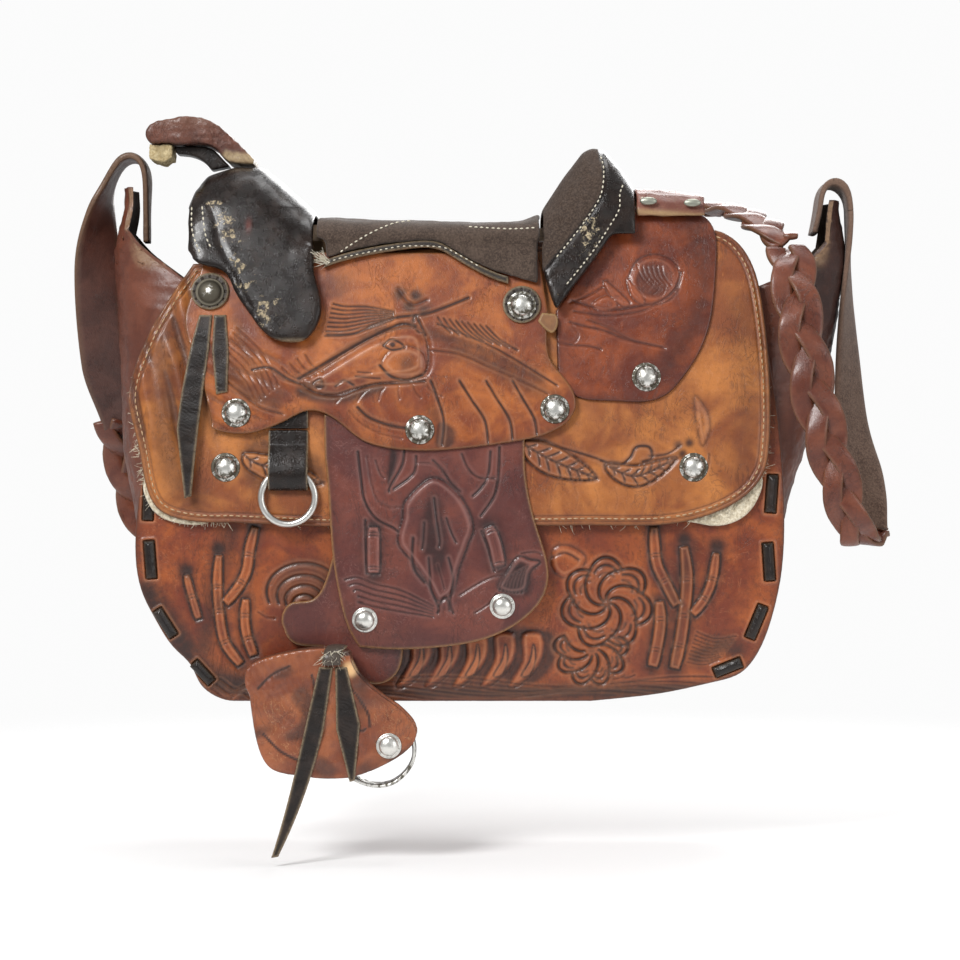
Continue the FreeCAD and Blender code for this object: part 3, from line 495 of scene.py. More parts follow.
class Shader:
    """A material's node tree, with short calls to add and join its nodes."""

    def __init__(self, name):
        self.material = bpy.data.materials.new(name)
        self.material.use_nodes = True
        self.tree = self.material.node_tree
        self.surface = self.tree.nodes["Principled BSDF"]
        self.place = self.attribute("rest", "Vector")

    def attribute(self, name, output="Fac"):
        node = self.tree.nodes.new("ShaderNodeAttribute")
        node.attribute_name = name
        return node.outputs[output]

    def put(self, socket, value):
        if isinstance(value, bpy.types.NodeSocket):
            self.tree.links.new(value, socket)
        elif isinstance(value, tuple) and len(value) == 3 and socket.type == "RGBA":
            socket.default_value = (*value, 1)
        else:
            socket.default_value = value

    def node(self, kind, output=0, settings=None, **inputs):
        node = self.tree.nodes.new("ShaderNode" + kind)
        for key, value in (settings or {}).items():
            setattr(node, key, value)
        for key, value in inputs.items():
            self.put(node.inputs[key.replace("_", " ")], value)
        return node.outputs[output]

    def noise(self, size, detail=3.0, rough=0.55, warp=0.0, stretch=None):
        """Noise from 0 to 1 whose features are about `size` millimetres."""
        place = self.place
        if stretch:
            place = self.node("Mapping", Vector=self.place, Scale=stretch)
        return self.node("TexNoise", 0, Vector=place, Scale=1 / (size * MM), Detail=detail, Roughness=rough,
                         Distortion=warp)

    def cells(self, size, feature="F1"):
        return self.node("TexVoronoi", 0, {"feature": feature}, Vector=self.place, Scale=1 / (size * MM))

    def mix(self, share, low, high, blend="MIX"):
        node = self.tree.nodes.new("ShaderNodeMix")
        node.data_type = "RGBA"
        node.blend_type = blend
        self.put(node.inputs["Factor"], share)
        self.put(node.inputs[6], low)
        self.put(node.inputs[7], high)
        return node.outputs[2]

    def ramp(self, value, low, high, start=0.0, end=1.0):
        """`start` at and below `low`, `end` at and above `high`, and smooth in between."""
        node = self.tree.nodes.new("ShaderNodeMapRange")
        node.interpolation_type = "SMOOTHSTEP"
        for key, number in (("Value", value), ("From Min", low), ("From Max", high), ("To Min", start),
                            ("To Max", end)):
            self.put(node.inputs[key], number)
        return node.outputs[0]

    def math(self, operation, a, b=0.0):
        node = self.tree.nodes.new("ShaderNodeMath")
        node.operation = operation
        self.put(node.inputs[0], a)
        self.put(node.inputs[1], b)
        return node.outputs[0]

    def bump(self, height, distance, strength=1.0, below=None):
        node = self.tree.nodes.new("ShaderNodeBump")
        self.put(node.inputs["Height"], height)
        node.inputs["Distance"].default_value = distance * MM
        node.inputs["Strength"].default_value = strength
        if below is not None:
            self.put(node.inputs["Normal"], below)
        return node.outputs[0]

    def done(self, color, roughness, normal=None, metallic=0.0, coat=0.0, coat_roughness=0.2, sheen=0.0,
             specular=0.5):
        for key, value in (("Base Color", color), ("Roughness", roughness), ("Metallic", metallic),
                           ("Coat Weight", coat), ("Coat Roughness", coat_roughness),
                           ("Sheen Weight", sheen), ("Specular IOR Level", specular)):
            self.put(self.surface.inputs[key], value)
        if normal is not None:
            self.put(self.surface.inputs["Normal"], normal)
        return self.material


def leather(name, base, light, deep, edge, flesh=(0.09, 0.055, 0.035), worn=None, roughness=0.45, gloss=0.2,
            grain=0.55, grain_depth=0.06, patch=22.0, patch_share=0.8, streaks=0.25, rim_share=0.8,
            pits=0.35):
    """Tooled and dyed leather. `deep` fills the tooling and the places darkened by dyeing and by painted
    shade; the worn colour, else `light`, goes on rubbed places and on painted sheen; `edge` is the cut edge
    and `flesh` its back.
    """
    s = Shader(name)
    broad = s.ramp(s.noise(patch, 3, 0.6, 0.6), 0.35, 0.68)
    color = s.mix(s.math("MULTIPLY", broad, patch_share), base, light)
    fine = s.noise(2.2, 4, 0.7)
    color = s.mix(s.math("MULTIPLY", s.ramp(fine, 0.45, 0.75), streaks), color, deep)
    scratches = s.noise(1.4, 3, 0.6, 0.2, (1.0, 1.0, 0.14))
    color = s.mix(s.math("MULTIPLY", s.ramp(scratches, 0.6, 0.78), 0.35), color, light)
    specks = s.cells(1.7)
    color = s.mix(s.math("MULTIPLY", s.ramp(specks, 0.16, 0.05), pits), color, deep)
    vein = s.math("ABSOLUTE", s.math("SUBTRACT", s.noise(16, 5, 0.62, 1.6), 0.5))
    scratch = s.math("MULTIPLY", s.ramp(vein, 0.006, 0.0), s.ramp(s.noise(30, 2), 0.42, 0.6))
    color = s.mix(s.math("MULTIPLY", scratch, 0.28), color, worn or light)
    crease = s.math("ABSOLUTE", s.math("SUBTRACT", s.noise(7, 4, 0.6, 2.2, (1.0, 1.0, 0.45)), 0.5))
    crease = s.math("MULTIPLY", s.ramp(crease, 0.03, 0.0), s.ramp(s.noise(24, 2), 0.45, 0.62))
    color = s.mix(s.math("MULTIPLY", crease, 0.35), color, deep)
    # darkening from the mesh: dyeing together with painted shade
    dye = s.math("MULTIPLY", s.attribute("dye"), s.ramp(s.noise(4, 3), 0.2, 0.6, 0.75, 1.0))
    color = s.mix(s.ramp(dye, 0.02, 0.78), color, deep)
    # paling from the mesh: rubbing together with painted sheen
    shine = worn or light
    color = s.mix(s.math("MULTIPLY", s.attribute("worn"), 0.45), color, shine)
    rim = s.math("MULTIPLY", s.attribute("rim"), s.ramp(s.noise(1.6, 3, 0.7), 0.3, 0.6, 0.55, 1.0))
    color = s.mix(s.math("MULTIPLY", rim, rim_share), color, edge)
    back = s.attribute("flesh")
    color = s.mix(back, color, s.mix(fine, flesh, tuple(0.6 * c for c in flesh)))
    rough = s.ramp(s.noise(5, 4, 0.65), 0.3, 0.7, roughness - 0.1, roughness + 0.12)
    rough = s.math("ADD", rough, s.math("MULTIPLY", back, 0.4))
    pebble = s.cells(grain)
    normal = s.bump(s.ramp(pebble, 0.0, 0.75), grain_depth * 0.9, 0.8)
    normal = s.bump(s.noise(0.35, 3, 0.7), grain_depth * 0.7, 0.7, normal)
    normal = s.bump(s.noise(3.2, 4, 0.6, 0.8), 0.26, 0.55, normal)
    normal = s.bump(s.math("SUBTRACT", 1.0, crease), 0.16, 0.7, normal)
    return s.done(color, rough, normal, coat=s.math("MULTIPLY", s.math("SUBTRACT", 1.0, back), gloss * 0.6),
                  coat_roughness=0.2, specular=0.32)


# ---- tooled patterns --------------------------------------------------------------------------------------


def bamboo(relief, path, width, joints, lift=0.5):
    """A jointed stalk: a raised strip along the path with pairs of cuts across it."""
    middle = curve(path, step=1.5)
    relief.smear(path, 1.1 * width, 0.62)
    along = np.gradient(middle, axis=0)
    along /= np.linalg.norm(along, axis=1)[:, None]
    across = np.column_stack([along[:, 1], -along[:, 0]])
    widths = np.interp(np.linspace(0, 1, len(middle)), [0, 0.12, 0.8, 1], [0.8, 1, 1, 0.7]) * width / 2
    left, right = middle - across * widths[:, None], middle + across * widths[:, None]
    relief.figure(np.vstack([left, right[::-1]]), lift, 0.9, 0.85, 1.3, smooth=False)
    for share in joints:
        k = int(share * (len(middle) - 1))
        for shift in (-0.7, 0.7):
            at = middle[k] + along[k] * shift
            reach = across[k] * widths[k]
            relief.cut([at - reach, at + along[k] * 0.4, at + reach], 0.4, 0.35, 0.6)
    relief.cut(middle[3:-3:3] + across[3:-3:3] * 0.4, 0.3, 0.15, 0.25)


def rosette(relief, middle, radius, petals, start=0.0, sweep=80.0, degrees=360.0, echoes=2, hub=0.1):
    """A flower of crescent petals that spiral out from its middle."""
    for k in range(petals):
        first = math.radians(start + degrees * k / petals)
        spine = []
        for t in np.linspace(hub, 1, 9):
            angle = first - math.radians(sweep) * (t - 0.4)
            spine.append((middle[0] + radius * 0.8 * t * math.cos(angle),
                          middle[1] + radius * 0.8 * t * math.sin(angle)))
        relief.cut(spine, 0.85, 0.8, 0.85)
        width = math.radians(degrees / petals)
        tip = first - math.radians(sweep) * 0.6
        for echo in range(echoes + 1):
            reach = radius * (1 - 0.17 * echo)
            inset = 0.1 * echo
            lobe = [(middle[0] + reach * (0.8 + 0.2 * math.sin(math.pi * t)) * math.cos(tip + width * t),
                     middle[1] + reach * (0.8 + 0.2 * math.sin(math.pi * t)) * math.sin(tip + width * t))
                    for t in np.linspace(inset, 1 - inset, 7)]
            relief.cut(lobe, 0.8, 0.8 - 0.2 * echo, 0.9 - 0.15 * echo)
    relief.spot(*middle, radius * 0.16, 0.5)


def leaf(relief, path, width, veins, lift=0.7):
    """A leaf along a path, with a midrib and slanting veins cut in."""
    middle = curve(path, step=1.0)
    along = np.gradient(middle, axis=0)
    along /= np.linalg.norm(along, axis=1)[:, None]
    across = np.column_stack([along[:, 1], -along[:, 0]])
    t = np.linspace(0, 1, len(middle))
    widths = np.sin(math.pi * t**0.8) * width / 2
    outline = np.vstack([middle + across * widths[:, None], (middle - across * widths[:, None])[::-1]])
    relief.figure(outline[::2], lift, 1.0, 0.75, 1.3)
    relief.cut(middle[::3], 0.6, 0.5, 0.9)
    for share in np.linspace(0.15, 0.85, veins):
        k = int(share * (len(middle) - 1))
        for hand in (-1, 1):
            tip = middle[k] + (across[k] * hand * 0.8 + along[k] * 0.7) * widths[k]
            relief.cut([middle[k], (middle[k] + tip) / 2 + along[k] * 0.3, tip], 0.5, 0.5, 0.95)


def strokes(relief, starts, ends, count, bow=0.0, width=0.45, depth=0.3, dye=0.6):
    """A fan of short cuts from one line to another."""
    starts, ends = np.array(starts, float), np.array(ends, float)
    for t in np.linspace(0, 1, count):
        a = starts[0] + (starts[1] - starts[0]) * t
        b = ends[0] + (ends[1] - ends[0]) * t
        normal = np.array([b[1] - a[1], a[0] - b[0]])
        relief.cut([a, (a + b) / 2 + normal * bow, b], width, depth, dye)


def ground_line(relief, left, right, level):
    """Low rolling ground along the foot of a panel."""
    reach = right - left
    for row in range(4):
        points = [(left + reach * t, level - 2.2 * row + 2.4 * math.sin(9 * t + 0.8 * row))
                  for t in np.linspace(0, 1, 16)]
        relief.cut(points, 0.5, 0.35, 0.6)


def swirl(relief, middle, size, hand=1):
    """A shell of nested arcs under two arched brows."""
    x, z = middle
    for ring, share in enumerate((1.0, 0.72, 0.5, 0.3)):
        arc = [(x + hand * size * share * math.cos(a), z + size * (0.78 * share * math.sin(a) - 0.1 * ring))
               for a in np.linspace(math.radians(-15), math.radians(200), 12)]
        relief.cut(arc, 0.8, 0.6, 0.85)
        inner = [(px * 0.94 + x * 0.06, pz - 0.07 * size) for px, pz in arc[2:-2]]
        relief.cut(inner, 0.5, 0.3, 0.5)
    relief.matting([(x - 0.9 * size, z - 0.3 * size), (x - 0.5 * size, z + 0.9 * size),
                    (x + 0.6 * size, z + 0.9 * size), (x + size, z - 0.2 * size)], 0.1, 0.45, 8)


def scallops(relief, first, last, count, low, high, lean):
    """A row of slanting lobes, each with a seed inside."""
    width = (last - first) / (count - 1)
    for x in np.linspace(first, last, count):
        relief.figure([(x - lean, low), (x - width * 0.40, (low + high) / 2), (x - width * 0.36, high),
                       (x + width * 0.38, high), (x + width * 0.38, (low + high) / 2),
                       (x - lean * 0.4, low + 1.5)], 0.6, 2.2, 0.7, 1.2)
        relief.figure([(x - lean * 0.42, low + 5), (x - 0.7, (low + high) / 2), (x + 0.6, high - 5),
                       (x + 1.3, (low + high) / 2), (x - lean * 0.1, low + 5.5)], 0.0, 0.6, 0.75, 0.9)


def front_tooling(relief):
    relief.smear([(-143, 50), (-132, 34), (-116, 12), (-98, 6)], 8, 0.75)
    relief.smear([(-100, 5), (-40, 4), (40, 4), (110, 5)], 5, 0.75)
    relief.smear([(-118, 20), (-112, 50), (-104, 78)], 7, 0.5)
    for path, width, joints in (
            ([(-100, 17), (-107, 27), (-109.5, 40), (-110.3, 55), (-109.6, 67)], 4.6, (0.25, 0.5, 0.72)),
            ([(-107, 45), (-101, 52), (-97, 60), (-95.5, 70), (-93, 80)], 4.8, (0.35, 0.7)),
            ([(-94, 21), (-97, 30), (-98, 38), (-97.5, 47)], 4.6, (0.3, 0.7)),
            ([(-119, 38), (-122, 48), (-124.5, 58)], 3.6, (0.5,)),
            ([(88, 16), (90, 25), (91.5, 36), (91, 46)], 5.4, (0.3, 0.75)),
            ([(98, 15), (100.5, 27), (102.5, 42), (103.5, 57), (102, 71)], 5.6, (0.2, 0.45, 0.75)),
            ([(99, 44), (94, 54), (89.5, 64), (88.2, 80)], 5.0, (0.35, 0.68)),
            ([(106, 40), (111.5, 47), (115, 56), (116.8, 68)], 4.4, (0.3, 0.62))):
        bamboo(relief, path, width, joints)
    for x, z in ((-109.6, 70), (-94, 80), (-124.5, 60), (88, 80), (102, 74), (117, 71)):
        relief.spot(x, z, 4.5, 0.8)
    relief.smear([(96, 18), (97, 45), (104, 70)], 8, 0.5)
    swirl(relief, (-71, 50), 17)
    relief.cut([(-92, 41), (-88, 38.5), (-84, 38)], 0.5, 0.4, 0.5)
    rosette(relief, (67, 45), 21, 7, 20, 95)
    rosette(relief, (60, 24), 17, 6, 190, 60, 230, 2, 0.25)
    relief.figure([(42, 62), (43, 70), (50, 71), (57, 66), (54, 60), (47, 57)], 0.3, 2, 0.5)
    relief.cut([(42, 66), (48, 68), (54, 65)], 0.7, 0.4, 0.6)
    relief.matting([(-30, 10), (-30, 30), (40, 33), (38, 10), (10, 3)], 0.2, 0.62, 4)
    scallops(relief, -18, 33, 5, 7, 31, 11)
    relief.smear([(108, 20), (118, 26), (126, 24)], 6, 0.6)
    strokes(relief, [(104, 18), (108, 32)], [(118, 19), (126, 30)], 9, 0.12)
    ground_line(relief, -40, 128, 9)
    strokes(relief, [(60, 9), (74, 11)], [(66, 12), (80, 12)], 4, 0.1)
    ground_line(relief, -115, -90, 8)


def back_tooling(relief):
    relief.smear([(-136, 40), (-120, 12), (0, 4), (120, 12), (136, 40)], 8, 0.7)
    for x in (-104, 104):
        hand = 1 if x < 0 else -1
        bamboo(relief, [(x, 14), (x + hand, 40), (x, 72)], 5.4, (0.25, 0.5, 0.78))
        bamboo(relief, [(x - hand * 3, 36), (x - hand * 12, 48), (x - hand * 14, 64)], 4.6, (0.4, 0.75))
        bamboo(relief, [(x + hand * 4, 42), (x + hand * 12, 56), (x + hand * 13, 76)], 4.6, (0.4, 0.75))
    rosette(relief, (-50, 45), 20, 7, 0, 95)
    rosette(relief, (50, 45), 20, 7, 40, -95)
    swirl(relief, (0, 50), 15)
    scallops(relief, -26, 26, 5, 7, 30, 9)
    ground_line(relief, -120, 120, 9)


SKIRT_LOOP = max((loop[:, [0, 2]] for loop in outlines("skirt")), key=len)


def skirt_folds(x, z):
    """Wrinkles where the skirt's front corner has bent."""
    left = np.clip((-98 - x) / 30, 0, 1) * np.clip((z - 96) / 30, 0, 1)
    return left * (np.sin((x + 0.35 * z) / 2.6 + np.sin(z / 13)) + 0.5 * np.sin((x + 0.2 * z) / 1.3 + 2))


def jockey_folds(x, z):
    """Wrinkles that gather at the front end of the front jockey."""
    front = np.clip((-66 - x) / 26, 0, 1) * np.clip((176 - z) / 18, 0, 1)
    return front * (np.sin((0.6 * x + z) / 1.7 + np.sin(x / 6)) + 0.4 * np.sin((0.4 * x + z) / 0.9 + 1))


def fold_dye(relief, folds, depth):
    """Paints shade into the valleys of wrinkles, as darker colour."""
    valleys = np.clip(-folds(relief.at[:, 0], relief.at[:, 1]), 0, 1)
    relief.dye = np.maximum(relief.dye, depth * valleys)


def skirt_tooling(relief):
    # painted shade in the valleys of the corner's wrinkles
    fold_dye(relief, skirt_folds, 0.55)
    for gap in (1.9, 4.4):
        groove = np.exp(-(((relief.edge_gap - gap) / 0.5) ** 2))
        relief.carved = np.maximum(relief.carved, 0.3 * groove)
        relief.dye = np.maximum(relief.dye, 0.5 * groove)
    relief.smear([(-136, 185), (-134, 150), (-132, 110), (-120, 92)], 10, 0.42)
    relief.smear([(128, 180), (131, 140), (127, 104)], 9, 0.3)
    relief.matting([(-100, 112), (-90, 122), (-62, 112), (-62, 98), (-92, 96)], 0.1, 0.5, 8)
    leaf(relief, [(-98, 113), (-90, 108), (-62, 100)], 11, 6)
    leaf(relief, [(28, 118), (42, 110), (62, 102)], 13, 7)
    leaf(relief, [(66, 108), (80, 103), (98, 111)], 9, 7)
    relief.cut([(64, 110), (72, 108), (77, 111), (80, 116), (86, 116), (87, 111), (83, 109.5)], 0.7, 0.5, 0.9)
    relief.cut([(28, 120), (45, 116), (62, 111), (70, 107)], 0.6, 0.45, 0.8)
    relief.cut([(86, 112), (94, 113), (100, 117)], 0.6, 0.4, 0.7)
    relief.figure([(107, 139), (112, 132), (113, 124), (110, 117), (108, 124), (107, 131)], 0.2, 1.5, 0.45)
    relief.cut([(103, 108), (107, 101), (112, 106), (113, 113)], 0.5, 0.3, 0.5)
    for x, z in ((99, 117), (101, 113), (104, 118)):
        relief.spot(x, z, 2.5, 0.7)
    relief.matting([(-62, 120), (-56, 112), (30, 116), (34, 124), (0, 118), (-50, 124)], 0, 0.3, 6)
    for x in (40, 52, 61, 70, 83):
        relief.cut([(x, 98), (x + 1.5, 93), (x + 0.5, 88)], 0.3, 0.12, 0.3)


def skirt_wave(x, z):
    """Wrinkles over the skirt's front corner, and a soft swell over its rear corner."""
    right = np.exp(-(((x - 112) / 22) ** 2 + ((z - 160) / 45) ** 2))
    return 0.8 * skirt_folds(x, z) + 0.8 * right + 0.08 * np.sin(x / 17) * np.sin(z / 13)


def jockey_tooling(relief):
    cut, figure = relief.cut, relief.figure
    # painted shade in the valleys of the front wrinkles
    fold_dye(relief, jockey_folds, 0.4)
    # head: brow and nose line, jaw, cheek, eye, nostril
    cut([(-73, 147), (-66, 151), (-56, 157), (-44, 164), (-34, 169), (-26, 172), (-20, 171)], 0.8, 0.6, 0.9)
    cut([(-70, 143), (-63, 140), (-54, 139.5), (-47, 142), (-38, 144.5), (-28, 145), (-16, 146)],
        0.8, 0.6, 0.8)
    figure([(-72, 146), (-66, 149), (-52, 158), (-38, 166), (-24, 170), (-16, 166), (-15, 152), (-22, 147),
            (-36, 145.5), (-48, 143), (-56, 140.5), (-66, 141.5)], 0.9, 4.0, 0.5, 1.8)
    figure([(-35, 154), (-31, 159.5), (-23, 161.5), (-16.5, 158), (-15.5, 151), (-19, 147.5), (-27, 147),
            (-32, 149.5)], 0.25, 2.0, 0.45, 1.2)
    relief.spot(-24, 154, 5.0, 0.5)
    cut([(-36, 153), (-31, 148), (-24, 146.5), (-17, 148.5)], 0.7, 0.5, 0.9)
    cut([(-34.5, 162), (-31, 164.8), (-26.5, 163), (-25, 161)], 0.5, 0.5, 0.95)
    cut([(-34.5, 162), (-30.5, 160), (-25, 161)], 0.5, 0.45, 0.9)
    relief.spot(-30.3, 162.4, 1.3, 1.0)
    cut([(-66, 145), (-63, 146.5), (-62, 143.5), (-64.5, 143)], 0.8, 0.5, 1.0)
    cut([(-56, 143.5), (-52, 146), (-48, 144)], 0.6, 0.4, 0.8)
    cut([(-47, 148), (-41, 147.4), (-36, 147)], 0.5, 0.35, 0.7)
    cut([(-46, 150), (-40, 149.6)], 0.5, 0.3, 0.6)
    relief.smear([(-72, 141), (-62, 138.5), (-50, 139), (-36, 143)], 3.4, 0.65)
    relief.smear([(-62, 152), (-48, 162), (-34, 170)], 3.0, 0.5)
    relief.smear([(-70, 144), (-62, 144)], 3.0, 0.6)
    relief.smear([(-14, 168), (10, 160), (36, 147)], 4.5, 0.5)
    relief.smear([(-12, 132), (-4, 120)], 4.0, 0.4)
    relief.smear([(-110, 160), (-98, 142), (-84, 136)], 6, 0.5)
    # ear and forelock
    cut([(-21, 173), (-20, 176), (-17, 170), (-15.5, 167)], 0.7, 0.5, 0.9)
    cut([(-21, 172), (-19, 168.5), (-17, 168)], 0.5, 0.4, 0.8)
    # mane
    strokes(relief, [(-10, 175), (12, 171)], [(-4, 168), (26, 160)], 9, 0.06, 0.5, 0.35, 0.75)
    cut([(-10, 172), (0, 168), (14, 162), (28, 154), (44, 144)], 0.6, 0.4, 0.7)
    cut([(-14, 160), (0, 158), (14, 152), (30, 145), (40, 140)], 0.6, 0.35, 0.55)
    relief.matting([(-8, 166), (10, 162), (34, 148), (46, 138), (30, 140), (8, 152), (-6, 158)], 0.1, 0.5, 9)
    # neck folds
    for x, foot in ((-13, -9), (0, 12), (12, 23), (24, 34)):
        cut([(x, 146), (x + 2 + (foot - x) * 0.25, 138), (x + 3 + (foot - x) * 0.7, 128), (foot + 1, 117)],
            0.6, 0.5, 0.85)
    strokes(relief, [(-44, 143), (-16, 146)], [(-56, 136), (-8, 139)], 6, 0.1, 0.5, 0.2, 0.4)
    relief.matting([(-10, 128), (-2, 124), (-3, 116), (-11, 116)], 0.1, 0.6, 3)
    # chest band along the lower edge
    cut([(-46, 134), (-41, 129.5), (-32, 126), (-24, 124.6)], 0.7, 0.5, 0.8)
    cut([(-50, 132.5), (-44, 126.5), (-35, 122), (-26, 120)], 0.5, 0.25, 0.35)
    # hatching above the nose and at the front
    for k in range(8):
        rise = 2.1 * k
        cut([(-61 + 0.5 * k, 166.5 + rise), (-52, 166.8 + rise * 0.9), (-42, 169.5 + rise * 0.7),
             (-30, 174 + rise * 0.25)], 0.5, 0.4, 0.75)
    cut([(-60, 167), (-48, 167.5), (-38, 172), (-28, 175), (-14, 177), (4, 184)], 0.7, 0.5, 0.85)
    cut([(-28, 188), (-22, 181), (-15, 183)], 0.9, 0.3, 0.6)
    for x, z in ((-27, 186), (-20, 185), (-23, 180), (-16, 178)):
        relief.spot(x, z, 3.6, 0.75)
    strokes(relief, [(-84, 150), (-70, 158)], [(-74, 145), (-62, 150)], 5, 0.1, 0.5, 0.3, 0.5)
    cut([(-94, 151), (-86, 152), (-78, 147), (-70, 144)], 0.7, 0.5, 0.85)
    cut([(-106, 146), (-98, 140), (-90, 134), (-80, 131)], 0.6, 0.4, 0.6)
    strokes(relief, [(-108, 158), (-101, 170)], [(-92, 136), (-82, 144)], 6, -0.08, 0.5, 0.25, 0.5)
    relief.matting([(-104, 172), (-96, 150), (-84, 138), (-76, 140), (-90, 152), (-98, 172)], 0.1, 0.5, 9)
    relief.matting([(-64, 196), (-64, 183), (-52, 183), (-48, 196)], 0.0, 0.35, 8)


def jockey_wave(x, z):
    return 0.5 * near(z, 155, 18) + 0.12 * np.sin(x / 11 + z / 17) + 0.3 * jockey_folds(x, z)


def rear_tooling(relief):
    cut = relief.cut
    relief.matting([(96, 226), (118, 226), (118, 180), (108, 160), (96, 144), (80, 140), (90, 160),
                    (104, 190)], 0.0, 0.5, 16)
    relief.figure([(78, 196), (82, 202), (90, 204), (98, 200), (100, 191), (96, 184), (88, 181), (80, 184),
                   (77, 190)], 0.25, 2.4, 0.6, 1.0)
    relief.matting([(80, 196), (88, 200), (96, 195), (95, 188), (88, 184), (80, 187)], 0.2, 0.55, 4)
    strokes(relief, [(81, 199), (92, 199)], [(86, 190), (96, 190)], 6, 0.1, 0.5, 0.35, 0.4)
    strokes(relief, [(83, 190), (90, 183)], [(86, 193), (94, 190)], 4, 0.1, 0.45, 0.3, 0.4)
    cut([(51, 183), (60, 180), (70, 178.5), (80, 180), (90, 182), (98, 188), (101, 196)], 0.7, 0.5, 0.6)
    cut([(52, 178), (64, 176), (74, 176.5), (84, 178.5), (92, 183)], 0.6, 0.4, 0.5)
    cut([(50, 182), (58, 185), (65, 189)], 0.6, 0.4, 0.5)
    relief.figure([(66, 192), (69, 190), (77, 182), (75, 180), (70, 183), (66, 189)], 0.3, 1.0, 0.5, 0.9)
    relief.figure([(76, 193), (79, 190), (84, 183), (83, 181), (78, 185)], 0.3, 1.0, 0.5, 0.9)
    relief.figure([(60, 181), (66, 185), (71, 183), (71, 179), (64, 178)], 0.3, 1.2, 0.45, 0.9)
    cut([(50, 173), (57, 171), (66, 169), (76, 165), (92, 161.5)], 0.7, 0.45, 0.6)
    cut([(58, 174), (68, 170), (80, 164), (93, 161)], 0.6, 0.4, 0.5)
    cut([(42, 164), (50, 162.5), (58, 162), (64, 160.5)], 0.6, 0.4, 0.55)
    cut([(46, 164), (51, 163), (54, 167), (50, 173)], 0.5, 0.3, 0.4)
    relief.matting([(44, 171), (52, 173), (60, 166), (52, 163), (44, 165)], 0.1, 0.3, 4)


def rear_wave(x, z):
    return 1.1 * np.exp(-(((x - 92) / 24) ** 2 + ((z - 180) / 30) ** 2)) + 0.1 * np.sin(z / 9)


def fender_tooling(relief):
    cut, figure = relief.cut, relief.figure
    # skull with its horns
    figure([(-24, 92), (-12, 102), (0, 94), (6, 81), (3.6, 72), (0, 62), (-3, 51), (-6, 48), (-10, 47),
            (-14, 54), (-21, 64), (-27.6, 73), (-25.6, 84)], 0.5, 2.0, 0.65, 1.2)
    cut([(-11.5, 93), (-10.5, 84), (-9, 74), (-9.4, 71)], 0.6, 0.5, 0.9)
    cut([(-16, 82), (-16.4, 74), (-17, 70)], 0.6, 0.4, 0.8)
    cut([(-6, 84), (-4, 78), (-1.6, 73)], 0.6, 0.4, 0.7)
    cut([(-21, 75), (-21.4, 66), (-20, 60), (-16, 55)], 0.7, 0.5, 0.85)
    cut([(-14, 66), (-13.4, 58), (-13, 52), (-9.6, 43.6), (-10, 41)], 0.6, 0.5, 0.85)
    cut([(-5, 66), (-3, 58), (-3.4, 52), (-4.4, 46), (-3, 41)], 0.6, 0.5, 0.8)
    cut([(-10, 63), (-8, 56), (-7, 52)], 0.4, 0.25, 0.5)
    relief.matting([(-14, 94), (-8, 92), (-5, 70), (-8, 58), (-14, 62), (-19, 76)], 0.15, 0.6, 5)
    cut([(-9.6, 44), (-7, 48), (-5, 46), (-4.6, 42)], 0.6, 0.5, 0.8)
    # horns
    cut([(-46, 114), (-44.6, 102), (-43, 92), (-38, 84), (-30, 79.6), (-28, 78)], 0.6, 0.5, 0.85)
    cut([(-42, 112), (-40, 100), (-37, 92), (-32, 89), (-26.6, 89)], 0.6, 0.3, 0.3)
    cut([(18, 116), (17.6, 104), (15.6, 94), (9.6, 85)], 0.6, 0.5, 0.85)
    cut([(-25, 116), (-26, 108), (-31, 99), (-32, 96)], 0.6, 0.45, 0.8)
    cut([(-19.6, 112), (-21, 104), (-30, 97)], 0.6, 0.45, 0.8)
    cut([(-38, 110), (-36, 104), (-34, 102)], 0.5, 0.3, 0.5)
    cut([(-20, 109), (-13, 108.6), (-9, 106)], 0.5, 0.3, 0.4)
    cut([(-12, 110), (-8, 106), (-4, 100), (0, 96)], 0.7, 0.4, 0.7)
    cut([(1, 113), (3, 108), (6, 104), (10, 102), (16, 102)], 0.6, 0.4, 0.6)
    cut([(14, 114), (13, 104), (10, 98), (6, 94)], 0.6, 0.45, 0.8)
    relief.matting([(-31, 116), (-28, 112), (-31, 100), (-33, 100), (-32, 112)], 0.15, 0.7, 2.5)
    # posts
    bamboo(relief, [(-39, 59), (-39, 70), (-39, 80)], 6, (0.15, 0.85), 0.35)
    bamboo(relief, [(18, 62), (16, 72), (13, 80)], 6, (0.15, 0.9), 0.35)
    cut([(-42.6, 83), (-42.4, 70), (-42, 59)], 0.6, 0.5, 0.9)
    cut([(10, 78), (13, 70), (15.6, 60)], 0.6, 0.5, 0.9)
    # ground and rope
    for k in range(5):
        cut([(-52 + 2 * k, 56 - 2.6 * k), (-46, 57 - 2.8 * k), (-38, 54 - 2.6 * k), (-26, 51 - 2.4 * k),
             (-12, 44 - 1.2 * k)], 0.5, 0.35, 0.6)
    cut([(0, 49), (8, 54), (14, 57), (19, 58)], 0.6, 0.4, 0.5)
    cut([(7, 41), (13, 45), (17, 50)], 0.5, 0.35, 0.5)
    figure([(19, 56), (26, 66), (32, 65), (36, 64), (32, 60), (30, 52), (24, 50), (18, 52)],
           0.3, 1.4, 0.7, 1.2)
    strokes(relief, [(20, 56), (31, 62)], [(18, 51), (28, 50)], 7, 0.05, 0.45, 0.35, 0.8)
    relief.matting([(18, 60), (30, 64), (32, 50), (20, 50)], 0.1, 0.75, 4)
    cut([(28, 68), (34, 68.6), (37, 67.6)], 0.5, 0.35, 0.5)
    relief.matting([(-62, 60), (-52, 50), (-34, 40), (-6, 34), (20, 38), (6, 26), (-26, 24), (-52, 28),
                    (-60, 50)], 0.0, 0.25, 10)


